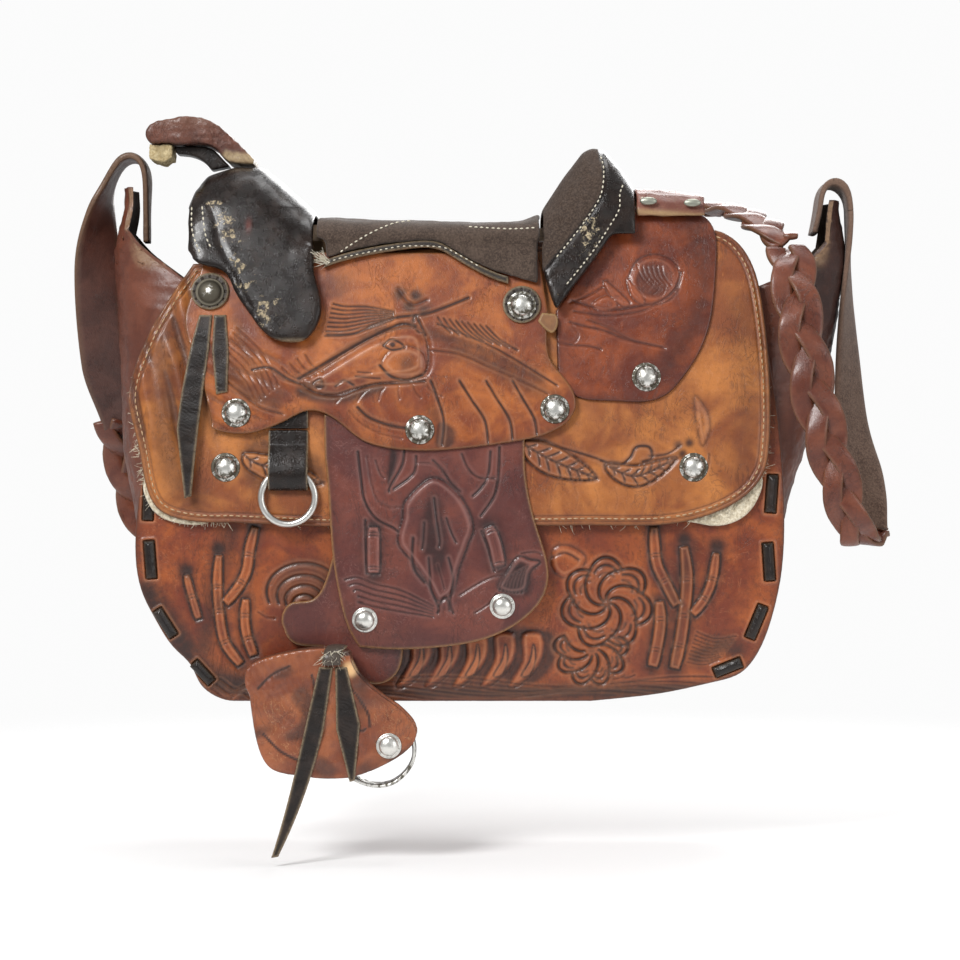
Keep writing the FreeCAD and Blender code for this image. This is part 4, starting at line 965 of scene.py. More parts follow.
def fender_wave(x, z):
    return 0.35 * np.sin((x + 10) / 14) * np.clip((z - 30) / 60, 0, 1) + 0.5 * np.clip((40 - z) / 14, 0, 1)


# ---- soft solids ------------------------------------------------------------------------------------------


def remeshed(name, node, voxel, relax=4):
    """A CAD node's solid as an even mesh with softened edges."""
    obj = bpy.data.objects.new(name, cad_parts[node].data.copy())
    bpy.context.scene.collection.objects.link(obj)
    even = obj.modifiers.new("even", "REMESH")
    even.mode = "VOXEL"
    even.voxel_size = voxel * MM * 1.0
    soften = obj.modifiers.new("soften", "SMOOTH")
    soften.factor = 0.5
    soften.iterations = relax
    mesh = bpy.data.meshes.new_from_object(obj.evaluated_get(bpy.context.evaluated_depsgraph_get()))
    obj.modifiers.clear()
    obj.data = mesh
    mesh.polygons.foreach_set("use_smooth", np.ones(len(mesh.polygons), bool))
    return obj


def refined(name, node, longest):
    """A CAD node's surface cut into small triangles, with soft shading over its gentle bends."""
    points, triangles = node_mesh(node)
    work = bmesh.new()
    corners = [work.verts.new(point) for point in points]
    for triangle in triangles:
        if len(set(triangle)) == 3:
            try:
                work.faces.new([corners[k] for k in triangle])
            except ValueError:
                continue
    longest *= FINE
    for _ in range(8):
        long_edges = [edge for edge in work.edges if edge.calc_length() > longest]
        if not long_edges:
            break
        bmesh.ops.subdivide_edges(work, edges=long_edges, cuts=1)
        bmesh.ops.triangulate(work, faces=work.faces[:])
    work.verts.ensure_lookup_table()
    points = [tuple(vert.co) for vert in work.verts]
    faces = [[vert.index for vert in face.verts] for face in work.faces]
    work.free()
    obj = make_object(name, points, faces)
    obj.data.set_sharp_from_angle(angle=math.radians(40))
    return obj


def points_of(obj):
    points = np.zeros(len(obj.data.vertices) * 3)
    obj.data.vertices.foreach_get("co", points)
    return points.reshape(-1, 3) / MM


def normals_of(obj):
    normals = np.zeros(len(obj.data.vertices) * 3)
    obj.data.vertex_normals.foreach_get("vector", normals)
    return normals.reshape(-1, 3)


def sculpt(obj, out):
    """Moves each point of a mesh out along its normal, by a number of millimetres each."""
    points = points_of(obj) + normals_of(obj) * np.asarray(out)[:, None]
    obj.data.vertices.foreach_set("co", (points * MM).ravel())
    obj.data.update()


def ease(value, low, high):
    share = np.clip((value - low) / (high - low), 0, 1)
    return share * share * (3 - 2 * share)


def near(values, middle, reach):
    """1 where values meet the middle, fading away over the reach."""
    return np.exp(-(((values - middle) / reach) ** 2))


def gap_to_line(points, line):
    """How far each (x, z) is from a line."""
    return gap_to_path(points, curve(line))


def padded(obj, pressure, cap):
    """Blows a closed mesh up a little with the cloth solver, keeping every point within `cap` mm."""
    before = points_of(obj)
    cloth = obj.modifiers.new("cloth", "CLOTH")
    cloth.settings.quality = 4
    cloth.settings.mass = 0.3
    cloth.settings.tension_stiffness = 25
    cloth.settings.compression_stiffness = 25
    cloth.settings.bending_stiffness = 4
    cloth.settings.use_pressure = True
    cloth.settings.uniform_pressure_force = pressure
    cloth.settings.effector_weights.gravity = 0
    cloth.collision_settings.use_collision = False
    scene = bpy.context.scene
    for step in range(1, 16):
        scene.frame_set(step)
    settled = obj.evaluated_get(bpy.context.evaluated_depsgraph_get())
    after = np.zeros(len(before) * 3)
    settled.data.vertices.foreach_get("co", after)
    after = after.reshape(-1, 3) / MM
    obj.modifiers.clear()
    scene.frame_set(1)
    moved = after - before
    far = np.linalg.norm(moved, axis=1)
    moved *= np.minimum(1, cap / np.maximum(far, 1e-9))[:, None]
    obj.data.vertices.foreach_set("co", ((before + moved) * MM).ravel())
    obj.data.update()


def relaxed(obj, times, where=None):
    """Smooths the creases out of a mesh, or out of the points that `where` picks."""
    soften = obj.modifiers.new("soften", "SMOOTH")
    soften.iterations = times
    if where is not None:
        group = obj.vertex_groups.new(name="where")
        group.add([int(k) for k in np.nonzero(where)[0]], 1.0, "REPLACE")
        soften.vertex_group = group.name
    mesh = bpy.data.meshes.new_from_object(obj.evaluated_get(bpy.context.evaluated_depsgraph_get()))
    obj.modifiers.clear()
    obj.data = mesh
    mesh.polygons.foreach_set("use_smooth", np.ones(len(mesh.polygons), bool))


# ---- straps -----------------------------------------------------------------------------------------------


def unit(vector):
    return vector / max(float(np.linalg.norm(vector)), 1e-9)


def slice_groups(points, triangles, side):
    """The points where a plane cuts each separate loop of a mesh."""
    group_of, groups = {}, []
    for triangle in triangles:
        keys = []
        for a, b in zip(triangle, np.roll(triangle, -1)):
            if (side[a] > 0) != (side[b] > 0):
                keys.append((min(a, b), max(a, b)))
        found = {group_of[key] for key in keys if key in group_of}
        target = min(found) if found else len(groups)
        if not found:
            groups.append(set())
        for other in found - {target}:
            groups[target] |= groups[other]
            for key in groups[other]:
                group_of[key] = target
            groups[other] = set()
        for key in keys:
            group_of[key] = target
            groups[target].add(key)
    cut = []
    for group in groups:
        if len(group) > 2:
            keys = np.array(sorted(group))
            a, b = keys[:, 0], keys[:, 1]
            share = (side[a] / (side[a] - side[b]))[:, None]
            cut.append(points[a] + (points[b] - points[a]) * share)
    return cut


def spine(node, start, ahead, step=2.0):
    """The centre line of a strap node with its width direction, width and thickness, found by slicing it."""
    points, triangles = node_mesh(node)
    at, ahead = np.array(start, float), unit(np.array(ahead, float))
    rows = []
    for _ in range(300):
        side = (points - at) @ ahead
        above = side[triangles] > 0
        crossing = triangles[above.any(1) & ~above.all(1)]
        near = [(np.linalg.norm(cut.mean(0) - at), k, cut)
                for k, cut in enumerate(slice_groups(points, crossing, side))]
        if not near or min(near)[0] > 8:
            break
        cut = min(near)[2]
        middle = cut.mean(0)
        directions = np.linalg.svd(cut - middle)[2]
        spans = (cut - middle) @ directions.T
        low, high = spans.min(0), spans.max(0)
        middle = middle + ((low + high) / 2) @ directions
        across = directions[0]
        if rows and across @ rows[-1][3:6] < 0:
            across = -across
        if rows:
            ahead = unit(ahead + 1.5 * unit(middle - rows[-1][:3]))
        rows.append(np.concatenate([middle, across, high[:2] - low[:2]]))
        at = middle + ahead * step
    return np.array(rows)


def resampled(rows, step=1.0, soften=3):
    """Rows of a spine at even steps, smoothed along the run."""
    rows = rows.copy()
    for _ in range(soften):
        rows[1:-1] = (rows[:-2] + 2 * rows[1:-1] + rows[2:]) / 4
    run = np.concatenate([[0], np.cumsum(np.linalg.norm(np.diff(rows[:, :3], axis=0), axis=1))])
    even = np.linspace(0, run[-1], max(2, int(run[-1] / (step * FINE))))
    return np.column_stack([np.interp(even, run, rows[:, k]) for k in range(rows.shape[1])]), even


# a strap's section: (across, through, whether it is the cut edge)
SECTION = ([(u, 1.0, 0.0) for u in np.linspace(-0.93, 0.93, 9)]
           + [(0.99, 0.7, 1.0), (1.0, 0.0, 1.0), (0.99, -0.7, 1.0)]
           + [(u, -1.0, 0.0) for u in np.linspace(0.93, -0.93, 9)]
           + [(-0.99, -0.7, 1.0), (-1.0, 0.0, 1.0), (-0.99, 0.7, 1.0)])


def ribbon(rows, crown=0.0, cup=0.0, ragged=0.08, caps=(True, True)):
    """Points, faces and attributes of a strap whose section is a flat band with rounded edges."""
    middle, across = rows[:, :3], rows[:, 3:6]
    ahead = np.gradient(middle, axis=0)
    ahead /= np.maximum(np.linalg.norm(ahead, axis=1), 1e-9)[:, None]
    across = across - ahead * (across * ahead).sum(1)[:, None]
    across /= np.maximum(np.linalg.norm(across, axis=1), 1e-9)[:, None]
    through = np.cross(ahead, across)
    half, thick = rows[:, 6] / 2, rows[:, 7] / 2
    points, rim, flesh = [], [], []
    for u, v, edge in SECTION:
        jag = random.normal(0, ragged, len(rows)) * abs(edge)
        up = v * thick * (1 - 0.25 * abs(u) ** 6) + crown * (1 - u * u) * np.sign(v) * 0.5 + cup * u * u
        points.append(middle + across * (half * u + jag)[:, None] + through * up[:, None])
        rim.append(np.full(len(rows), max(edge, ease(abs(u), 0.86, 1.0))))
        flesh.append(np.full(len(rows), float(v < 0 and edge == 0)))
    points = np.stack(points, 1)
    count, around = points.shape[:2]
    index = np.arange(count * around).reshape(count, around)
    after = np.roll(index, -1, axis=1)
    faces = np.stack([index[:-1], after[:-1], after[1:], index[1:]], -1).reshape(-1, 4).tolist()
    faces += [index[0, ::-1].tolist()] * caps[0] + [index[-1].tolist()] * caps[1]
    return points.reshape(-1, 3), faces, np.stack(rim, 1).ravel(), np.stack(flesh, 1).ravel()


def joined(name, parts):
    """One object from several ribbons."""
    points, faces = merged([part[:2] for part in parts])
    rim = np.concatenate([part[2] for part in parts])
    flesh = np.concatenate([part[3] for part in parts])
    return make_object(name, points, faces, rim=rim, flesh=flesh, dye=0.0, worn=0.0, edge_gap=50.0)


def braid(name, rows, period=78.0, strand=0.5, thickness=2.2, rise=1.9, start=0.0):
    """Three flat strands plaited over and under one another along a spine."""
    rows, run = resampled(rows, 1.2, 8)
    ahead = np.gradient(rows[:, :3], axis=0)
    ahead /= np.linalg.norm(ahead, axis=1)[:, None]
    across = rows[:, 3:6] - ahead * (rows[:, 3:6] * ahead).sum(1)[:, None]
    across /= np.linalg.norm(across, axis=1)[:, None]
    through = np.cross(ahead, across)
    parts = []
    for k in range(3):
        phase = 2 * math.pi * (run / period + k / 3) + start
        reach = rows[:, 6] / 2 * (1 - strand * 0.86)
        middle = rows[:, :3] + across * (np.sin(phase) * reach)[:, None]
        middle += through * (np.sin(2 * phase) * rise)[:, None]
        tilt = -0.20 * np.cos(phase)
        turned_across = unit_rows(across + through * tilt[:, None])
        thick = np.full(len(rows), thickness)
        strand_rows = np.column_stack([middle, turned_across, rows[:, 6] * strand, thick])
        points, faces, rim, flesh = ribbon(strand_rows, crown=0.8, ragged=0.05)
        parts.append((points, faces, rim, 0 * flesh))
    return joined(name, parts)


def unit_rows(vectors):
    return vectors / np.maximum(np.linalg.norm(vectors, axis=1), 1e-9)[:, None]


def smooth_path(points, width, thickness, across, step=1.0):
    """Spine rows along a smooth 3-D path of constant width."""
    points = curve(points, step=step)
    across = np.broadcast_to(np.asarray(across, float), points.shape)
    return np.column_stack([points, across, np.full(len(points), width), np.full(len(points), thickness)])


# ---- small hardware and thread ----------------------------------------------------------------------------


def islands(node):
    """The separate solids of a node, as their points in millimetres."""
    points, triangles = node_mesh(node)
    parent = np.arange(len(points))

    def root(k):
        while parent[k] != k:
            parent[k] = parent[parent[k]]
            k = parent[k]
        return k

    for a, b, c in triangles:
        ra, rb, rc = root(a), root(b), root(c)
        low = min(ra, rb, rc)
        parent[ra] = parent[rb] = parent[rc] = low
    roots = np.array([root(k) for k in range(len(points))])
    return [points[roots == k] for k in np.unique(roots)]


def lathe_part(middle, axis, profile, around=40, dent=0.0):
    """A turned shape: rows of (radius, height, tarnish) about an axis, with hammered dents."""
    axis = unit(np.array(axis, float))
    side = unit(np.cross(axis, (1, 0, 0)))
    other = np.cross(axis, side)
    points, tarnish = [], []
    for radius, height, dark in profile:
        for k in range(around):
            angle = 2 * math.pi * k / around
            knock = random.normal(0, dent) * min(1.0, radius / 3)
            flat = side * math.cos(angle) + other * math.sin(angle)
            points.append(np.array(middle) + flat * (radius + 0.4 * knock) + axis * (height + knock))
            tarnish.append(dark)
    rows = len(profile)
    faces = [[r * around + k, r * around + (k + 1) % around, (r + 1) * around + (k + 1) % around,
              (r + 1) * around + k] for r in range(rows - 1) for k in range(around)]
    faces.append(list(range(around))[::-1])
    faces.append([(rows - 1) * around + k for k in range(around)])
    return np.array(points), faces, np.array(tarnish)


def concho_profile(radius, height, brim=0.22):
    """Brim, bead and dome of a concho, from its back to its crown."""
    rows = [(radius * 0.9, -0.4, 1.0), (radius, -0.1, 1.0), (radius, 0.25, 0.95), (radius * 0.95, 0.5, 0.8),
            (radius * (1 - brim * 0.5), 0.45, 1.0), (radius * (1 - brim), 0.5, 0.95)]
    dome = radius * (1 - brim)
    for t in np.linspace(0.1, 1.0, 9):
        angle = t * math.pi / 2
        across = max(dome * math.cos(angle), 0.05)
        rows.append((across, 0.5 + (height - 0.5) * math.sin(angle), 0.9 * (1 - t) ** 0.8))
    return rows


def conchos(name, node, body, material, dent=0.05, dark=1.0):
    """Hammered silver domes in the places of a node's solids."""
    parts = []
    for points in islands(node):
        low, high = points.min(0), points.max(0)
        middle = (low + high) / 2
        spread = np.linalg.svd(points - points.mean(0))[2]
        axis = spread[2]
        facing = FRONT if middle[1] < 0 else BACK
        if axis[1] * facing < 0:
            axis = -axis
        heights = (points - middle) @ axis
        radius = float(np.max(np.linalg.norm((points - middle) - np.outer(heights, axis), axis=1)))
        base = middle + axis * heights.min()
        profile = [(r, h, t * dark) for r, h, t in concho_profile(radius, heights.max() - heights.min())]
        parts.append(lathe_part(base, axis, profile, dent=dent))
    points, faces = merged([part[:2] for part in parts])
    obj = make_object(name, points, faces, tarnish=np.concatenate([part[2] for part in parts]))
    return finish_piece(obj, material, body, [node])


def ground_tree(obj):
    """A search tree over a finished piece, in millimetres."""
    return BVHTree.FromPolygons(points_of(obj).tolist(), [list(face.vertices) for face in obj.data.polygons])


def laid(path, tree, side=FRONT, lift=0.0):
    """A line of (x, z) laid on the surface that faces the front or the back."""
    found = []
    for x, z in path:
        hit = tree.ray_cast((x, 300.0 * side, z), (0, -side, 0))
        found.append(None if hit[0] is None else np.array(hit[0]) + np.array(hit[1]) * lift)
    return found


def threads(name, body, parts, material):
    """One object from many thread tubes."""
    obj = make_object(name, *merged(parts))
    obj.data.materials.append(material)
    if body:
        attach(obj, body)
    return obj


def stitched(name, body, paths, tree, material, length=2.1, gap=0.9, radius=0.32, side=FRONT, lift=0.12):
    """Rows of thread stitches laid along lines of (x, z)."""
    parts = []
    for path in paths:
        path = np.asarray(path, float)
        run = np.concatenate([[0], np.cumsum(np.linalg.norm(np.diff(path, axis=0), axis=1))])
        for start in np.arange(0, run[-1] - length, length + gap):
            span = np.array([start, start + length / 2, start + length]) + random.normal(0, 0.06)
            flat = np.column_stack([np.interp(span, run, path[:, k]) for k in (0, 1)])
            ends = laid(flat, tree, side, lift)
            if any(end is None for end in ends):
                continue
            a, mid, b = ends
            if np.linalg.norm(b - a) > 1.6 * length:
                continue
            mid = mid + np.array([0, side * 0.14, 0])
            ahead = unit(b - a)
            across = unit(np.cross(ahead, (0, 1, 0)))
            t = np.linspace(0, 1, 5)[:, None]
            centres = (1 - t) ** 2 * a + 2 * t * (1 - t) * (2 * mid - (a + b) / 2) + t * t * b
            radii = radius * (0.35 + 0.65 * np.sin(math.pi * t[:, 0]).clip(0) ** 0.5)
            parts.append(tube(centres, radii, across, np.cross(across, ahead), 6))
    return threads(name, body, parts, material)


def inset(loop, gap):
    """A closed loop moved inwards by a gap."""
    loop = split_long(loop, 1.0)
    if signed_area(loop) < 0:
        loop = loop[::-1]
    for _ in range(2):
        loop = (np.roll(loop, 1, axis=0) + 2 * loop + np.roll(loop, -1, axis=0)) / 4
    along = unit_rows(np.roll(loop, -2, axis=0) - np.roll(loop, 2, axis=0))
    moved = loop + gap * np.column_stack([-along[:, 1], along[:, 0]])
    tree = nearest_tree(loop)
    keep = distances(tree, moved) > gap * 0.93
    return moved[keep]


def tufts(name, body, roots, outward, material, length=(1.4, 2.8), radius=0.2, curl=0.6):
    """Tufts of wool or torn thread: thin curling strands from root points in given directions."""
    parts = []
    for root, out in zip(roots, outward):
        reach = random.uniform(*length)
        way = unit(out + random.normal(0, 0.45, 3))
        bend = random.normal(0, curl, 3)
        side = unit(np.cross(way, (0.3, 1, 0.2)))
        t = np.linspace(0, 1, 5)[:, None]
        centres = root + way * reach * t + bend * reach * t * t
        radii = radius * (1.05 - t[:, 0] * 0.75)
        parts.append(tube(centres, radii, side, np.cross(side, way), 4, capped=False))
    return threads(name, body, parts, material)


# ---- more materials ---------------------------------------------------------------------------------------


def cracked_black(name, pale=(0.52, 0.42, 0.27), ageing=1.0, roughness=0.26, rim_share=1.0):
    """Glossy black leather, cracked, with its finish flaked off down to the pale hide."""
    s = Shader(name)
    color = s.mix(s.ramp(s.noise(9, 3), 0.4, 0.7), (0.007, 0.004, 0.003), (0.020, 0.012, 0.009))
    color = s.mix(s.math("MULTIPLY", s.attribute("dye"), 1.0), color, (0.16, 0.03, 0.018))
    # paling from the mesh flakes the finish to the hide; on the cantle it also paints a highlight
    wear_and_sheen = s.attribute("worn")
    flake = s.noise(2.4, 6, 0.75, 0.6)
    threshold = s.ramp(wear_and_sheen, 0.0, 1.0, 0.80, 0.50)
    flaked = s.ramp(s.math("SUBTRACT", flake, threshold), 0.0, 0.05)
    flaked = s.math("MULTIPLY", flaked, ageing)
    hide = s.mix(s.ramp(s.noise(1.5, 4, 0.7), 0.35, 0.65), pale, tuple(0.35 * c for c in pale))
    color = s.mix(flaked, color, hide)
    rim = s.math("MULTIPLY", s.attribute("rim"), s.ramp(s.noise(1.3, 3, 0.7), 0.35, 0.55, 0.4, 1.0))
    color = s.mix(s.math("MULTIPLY", rim, rim_share), color, (0.23, 0.17, 0.105))
    back = s.attribute("flesh")
    color = s.mix(back, color, (0.06, 0.045, 0.035))
    nap = s.attribute("nap")
    brushed = s.mix(s.ramp(s.noise(0.9, 4, 0.8), 0.4, 0.66), (0.038, 0.025, 0.019), (0.088, 0.061, 0.046))
    color = s.mix(nap, color, brushed)
    rough = s.math("ADD", s.ramp(s.noise(4, 4, 0.7), 0.3, 0.7, roughness - 0.08, roughness + 0.14),
                   s.math("MULTIPLY", flaked, 0.35))
    rough = s.math("ADD", rough, s.math("MULTIPLY", nap, 0.6))
    pebble = s.cells(0.9, "DISTANCE_TO_EDGE")
    normal = s.bump(s.ramp(pebble, 0.0, 0.18), 0.05, 0.6)
    normal = s.bump(s.noise(0.5, 3, 0.7), 0.02, 0.6, normal)
    normal = s.bump(s.math("SUBTRACT", 1.0, flaked), 0.07, 0.7, normal)
    normal = s.bump(s.noise(6, 3, 0.5, 0.5), 0.14, 0.35, normal)
    return s.done(color, rough, normal, coat=s.math("SUBTRACT", 0.15, s.math("MULTIPLY", nap, 0.15)),
                  coat_roughness=0.1, specular=0.3)


def suede(name, base, light):
    """Brushed flesh-side leather with a short nap."""
    s = Shader(name)
    color = s.mix(s.ramp(s.noise(7, 5, 0.7), 0.35, 0.65), base, light)
    color = s.mix(s.math("MULTIPLY", s.ramp(s.noise(0.9, 4, 0.8), 0.42, 0.66), 0.75), color,
                  tuple(1.9 * c for c in light))
    color = s.mix(s.math("MULTIPLY", s.ramp(s.noise(1.6, 3, 0.7), 0.55, 0.75), 0.5), color,
                  tuple(0.45 * c for c in base))
    color = s.mix(s.math("MULTIPLY", s.attribute("rim"), 0.6), color, tuple(1.5 * c for c in light))
    color = s.mix(s.attribute("dye"), color, tuple(0.3 * c for c in base))
    normal = s.bump(s.noise(0.45, 4, 0.8), 0.14, 0.9)
    normal = s.bump(s.noise(4, 4, 0.6), 0.35, 0.5, normal)
    return s.done(color, 0.92, normal, sheen=0.18, specular=0.25)


def metal(name, bright, dark, roughness=0.28, cad=False):
    """Worn plated metal; `tarnish` on a mesh darkens it."""
    s = Shader(name)
    if cad:
        s.place = s.node("TexCoord", "Object")
    stain = s.attribute("tarnish")
    patchy = s.ramp(s.noise(2.2, 5, 0.7, 0.6), 0.38, 0.62)
    share = s.math("MULTIPLY", s.math("ADD", stain, 0.12), s.math("ADD", patchy, 0.45))
    color = s.mix(s.ramp(share, 0.25, 0.8), bright, dark)
    rough = s.ramp(share, 0.1, 0.9, roughness, roughness + 0.3)
    normal = s.bump(s.noise(1.1, 3, 0.6), 0.14, 0.6)
    normal = s.bump(s.noise(0.3, 2, 0.6), 0.03, 0.6, normal)
    return s.done(color, rough, normal, metallic=s.ramp(share, 0.3, 1.0, 1.0, 0.75))


def plain_stuff(name, base, light, size, depth, roughness=0.85, sheen=0.0, cad=False, stretch=None):
    """Wool, thread, foam or bare wood: two tones with a bump of a given grain size."""
    s = Shader(name)
    if cad:
        s.place = s.node("TexCoord", "Object")
    grain = s.noise(size, 5, 0.7, 0.4, stretch)
    color = s.mix(s.ramp(grain, 0.35, 0.65), base, light)
    color = s.mix(s.math("MULTIPLY", s.ramp(s.noise(size * 6, 3), 0.5, 0.7), 0.5), color,
                  tuple(0.6 * c for c in base))
    return s.done(color, roughness, s.bump(grain, depth, 0.9), sheen=sheen, specular=0.3)


# ---- leathers ---------------------------------------------------------------------------------------------

# the panel's deep colour, for its dyed places and its painted shade
DARK_DYE_AND_SHADE = (0.030, 0.012, 0.009)

tan_panel = leather("tooled_panel", (0.16, 0.030, 0.011), (0.36, 0.090, 0.020), DARK_DYE_AND_SHADE, (0.08, 0.03, 0.015),
                    worn=(0.62, 0.26, 0.12), gloss=0.5, streaks=0.4)
tan_skirt = leather("skirt_leather", (0.21, 0.056, 0.016), (0.52, 0.190, 0.044), (0.045, 0.015, 0.009),
                    (0.10, 0.042, 0.018), worn=(0.55, 0.27, 0.15), gloss=0.5, patch=30)
tan_jockey = leather("jockey_leather", (0.18, 0.037, 0.011), (0.47, 0.140, 0.028), (0.040, 0.014, 0.009),
                     (0.22, 0.10, 0.04), worn=(0.58, 0.30, 0.17), roughness=0.4, gloss=0.65)
red_jockey = leather("rear_jockey_leather", (0.11, 0.020, 0.009), (0.28, 0.060, 0.014), (0.045, 0.012, 0.009),
                     (0.06, 0.020, 0.014), worn=(0.45, 0.16, 0.09), roughness=0.34, gloss=0.75)
maroon = leather("fender_leather", (0.095, 0.026, 0.022), (0.17, 0.046, 0.030), (0.024, 0.010, 0.010),
                 (0.36, 0.19, 0.07), worn=(0.42, 0.21, 0.18), roughness=0.38, gloss=0.5, patch=26)
red_brown = leather("gusset_leather", (0.105, 0.030, 0.017), (0.19, 0.060, 0.032), (0.04, 0.016, 0.012),
                    (0.26, 0.16, 0.09), flesh=(0.035, 0.022, 0.014), roughness=0.42, gloss=0.25, patch=30)
hood_leather = leather("hood_leather", (0.17, 0.045, 0.020), (0.33, 0.105, 0.040), (0.05, 0.020, 0.014),
                       (0.17, 0.09, 0.045), worn=(0.79, 0.50, 0.24), roughness=0.36, gloss=0.6)
strap_leather = leather("strap_leather", (0.060, 0.022, 0.016), (0.105, 0.040, 0.028), (0.025, 0.011, 0.008),
                        (0.16, 0.095, 0.055), flesh=(0.085, 0.050, 0.034), roughness=0.4, gloss=0.3, patch=18)
braid_leather = leather("braid_leather", (0.105, 0.027, 0.015), (0.190, 0.058, 0.030), (0.026, 0.010, 0.007),
                        (0.17, 0.09, 0.05), flesh=(0.085, 0.050, 0.034), roughness=0.34, gloss=0.4, patch=14)
band_leather = leather("band_leather", (0.14, 0.045, 0.030), (0.23, 0.082, 0.055), (0.06, 0.025, 0.018),
                       (0.40, 0.26, 0.13), worn=(0.45, 0.30, 0.15), roughness=0.45, gloss=0.2)
horn_leather = leather("horn_leather", (0.085, 0.032, 0.022), (0.15, 0.056, 0.036), (0.03, 0.015, 0.012),
                       (0.50, 0.38, 0.22), worn=(0.30, 0.17, 0.11), roughness=0.42, gloss=0.2, patch=16)
thong_leather = leather("thong_leather", (0.24, 0.11, 0.045), (0.36, 0.18, 0.08), (0.07, 0.03, 0.015),
                        (0.40, 0.26, 0.12), roughness=0.5)
rosette_leather = leather("rosette_leather", (0.035, 0.026, 0.020), (0.07, 0.05, 0.035), (0.015, 0.01, 0.008),
                          (0.30, 0.23, 0.14), roughness=0.5)
black_shell = cracked_black("black_leather")
black_string = cracked_black("string_leather", ageing=0.12, roughness=0.38)
lace_black = cracked_black("lace_leather", ageing=0.1, roughness=0.34, rim_share=0.12)
strap_suede = suede("strap_suede", (0.075, 0.042, 0.029), (0.125, 0.078, 0.056))
seat_suede = suede("seat_suede", (0.038, 0.025, 0.019), (0.064, 0.044, 0.033))
silver = metal("silver", (0.74, 0.73, 0.69), (0.10, 0.088, 0.066))
steel = metal("ring_steel", (0.66, 0.65, 0.62), (0.35, 0.34, 0.31), 0.3, cad=True)
rivet_metal = metal("rivet_metal", (0.36, 0.37, 0.31), (0.16, 0.16, 0.12), 0.45, cad=True)
wool = plain_stuff("fleece", (0.50, 0.42, 0.29), (0.78, 0.71, 0.56), 1.2, 0.5, 0.95, 0.3)
thread = plain_stuff("thread", (0.36, 0.22, 0.12), (0.58, 0.40, 0.24), 0.5, 0.12, 0.7)
white_thread = plain_stuff("white_thread", (0.52, 0.47, 0.36), (0.78, 0.73, 0.60), 0.5, 0.12, 0.7)
foam = plain_stuff("foam", (0.40, 0.30, 0.15), (0.66, 0.55, 0.33), 1.0, 0.5)
bare_wood = plain_stuff("tree_wood", (0.16, 0.095, 0.05), (0.25, 0.16, 0.085), 2.0, 0.1, 0.7, cad=True,
                        stretch=(0.2, 1, 1))

# ---- bag: panels, lace and gusset -------------------------------------------------------------------------


def laced(pattern, node, side=FRONT):
    """A tooling pattern with a pressed, pale-edged slot round every lace of a node, darkened with painted
    shade where the lace goes in.
    """
    loops = [loop[:, [0, 2]] for loop in outlines(node, side)]

    def both(relief):
        pattern(relief)
        for loop in loops:
            path = np.vstack([loop, loop[:1]])
            index, gap = relief.distance(split_long(path, 1.0), 5)
            outside = ~within(relief.at[index], [loop])
            lip = np.where(outside, near(gap, 0.9, 0.7), 0)
            dip = np.where(outside, near(gap, 0, 0.6), 1)
            relief.worn[index] = np.maximum(relief.worn[index], 0.6 * lip)
            relief.raised[index] = np.maximum(relief.raised[index], 0.35 * lip)
            relief.carved[index] = np.maximum(relief.carved[index], 0.7 * dip)
            # painted shade in the slot at the lace's edge
            relief.dye[index] = np.where(dip > 0.6, 0.9, relief.dye[index])
    return both


def lace_tooling(relief):
    relief.raised += 0.75 * (1 - np.exp(-((relief.edge_gap / 1.7) ** 2)))
    relief.raised += 0.06 * ripple(relief.at, 5.0, 3)


def open_panel(p):
    """Where a panel shows below and beside the flap."""
    return (p[:, 1] < 92) | (np.abs(p[:, 0]) > 130)


front_panel = sheet("bag_front", "front_panel", 0.6, tooling=laced(front_tooling, "front_lace"),
                    fine_zone=open_panel)
finish_piece(front_panel, tan_panel, "bag", ["front_panel"])
back_panel = sheet("bag_back", "back_panel", 0.8, BACK, laced(back_tooling, "back_lace", BACK),
                   fine_zone=open_panel)
finish_piece(back_panel, tan_panel, "bag", ["back_panel"])
for side, word in ((FRONT, "front"), (BACK, "back")):
    lace = sheet(f"lace_{word}", f"{word}_lace", 0.6, side, lace_tooling, rim=0.6, shade=(1, 0),
                 back_spacing=3)
    finish_piece(lace, lace_black, "bag", [f"{word}_lace"])


def swelling(at, stand_out, foot, head, half_width):
    """How far a soft side of the bag stands out, by height and by distance from its middle."""
    by_height = stand_out * ease(at[:, 2], *foot) * (1 - ease(at[:, 2], *head))
    return by_height * np.clip(1 - (at[:, 1] / half_width) ** 4, 0, 1)


gusset = refined("bag_gusset", "gusset", 2.0)
at, out = points_of(gusset), normals_of(gusset)
crease = near(at[:, 1], 0, 5) * ease(at[:, 2], 20, 60)
wrinkle = ripple(at[:, [1, 2]], 9, 5) * 0.35 + ripple(at[:, [0, 2]], 30, 6) * 0.3
inward = np.where(np.abs(at[:, 0]) > 100, -np.sign(at[:, 0]) * out[:, 0], out[:, 2])
inside_face = ease(inward, 0.2, 0.6)
sculpt(gusset, wrinkle * (1 - inside_face) * 0.8)
moved = points_of(gusset)
moved[:, 0] -= swelling(at, 5.0, (60, 120), (206, 232), 40) * ease(-at[:, 0], 120, 145)
moved[:, 0] += swelling(at, 10.0, (80, 160), (196, 238), 41) * ease(at[:, 0], 120, 140)
gusset.data.vertices.foreach_set("co", (moved * MM).ravel())
gusset.data.update()
height = at[:, 2]
right_ear = 0.75 * ease(at[:, 0], 130, 150) * ease(height, 120, 185)
cut_edge = ease(1 - np.maximum(np.abs(out[:, 0]), np.abs(out[:, 2])), 0.35, 0.6)
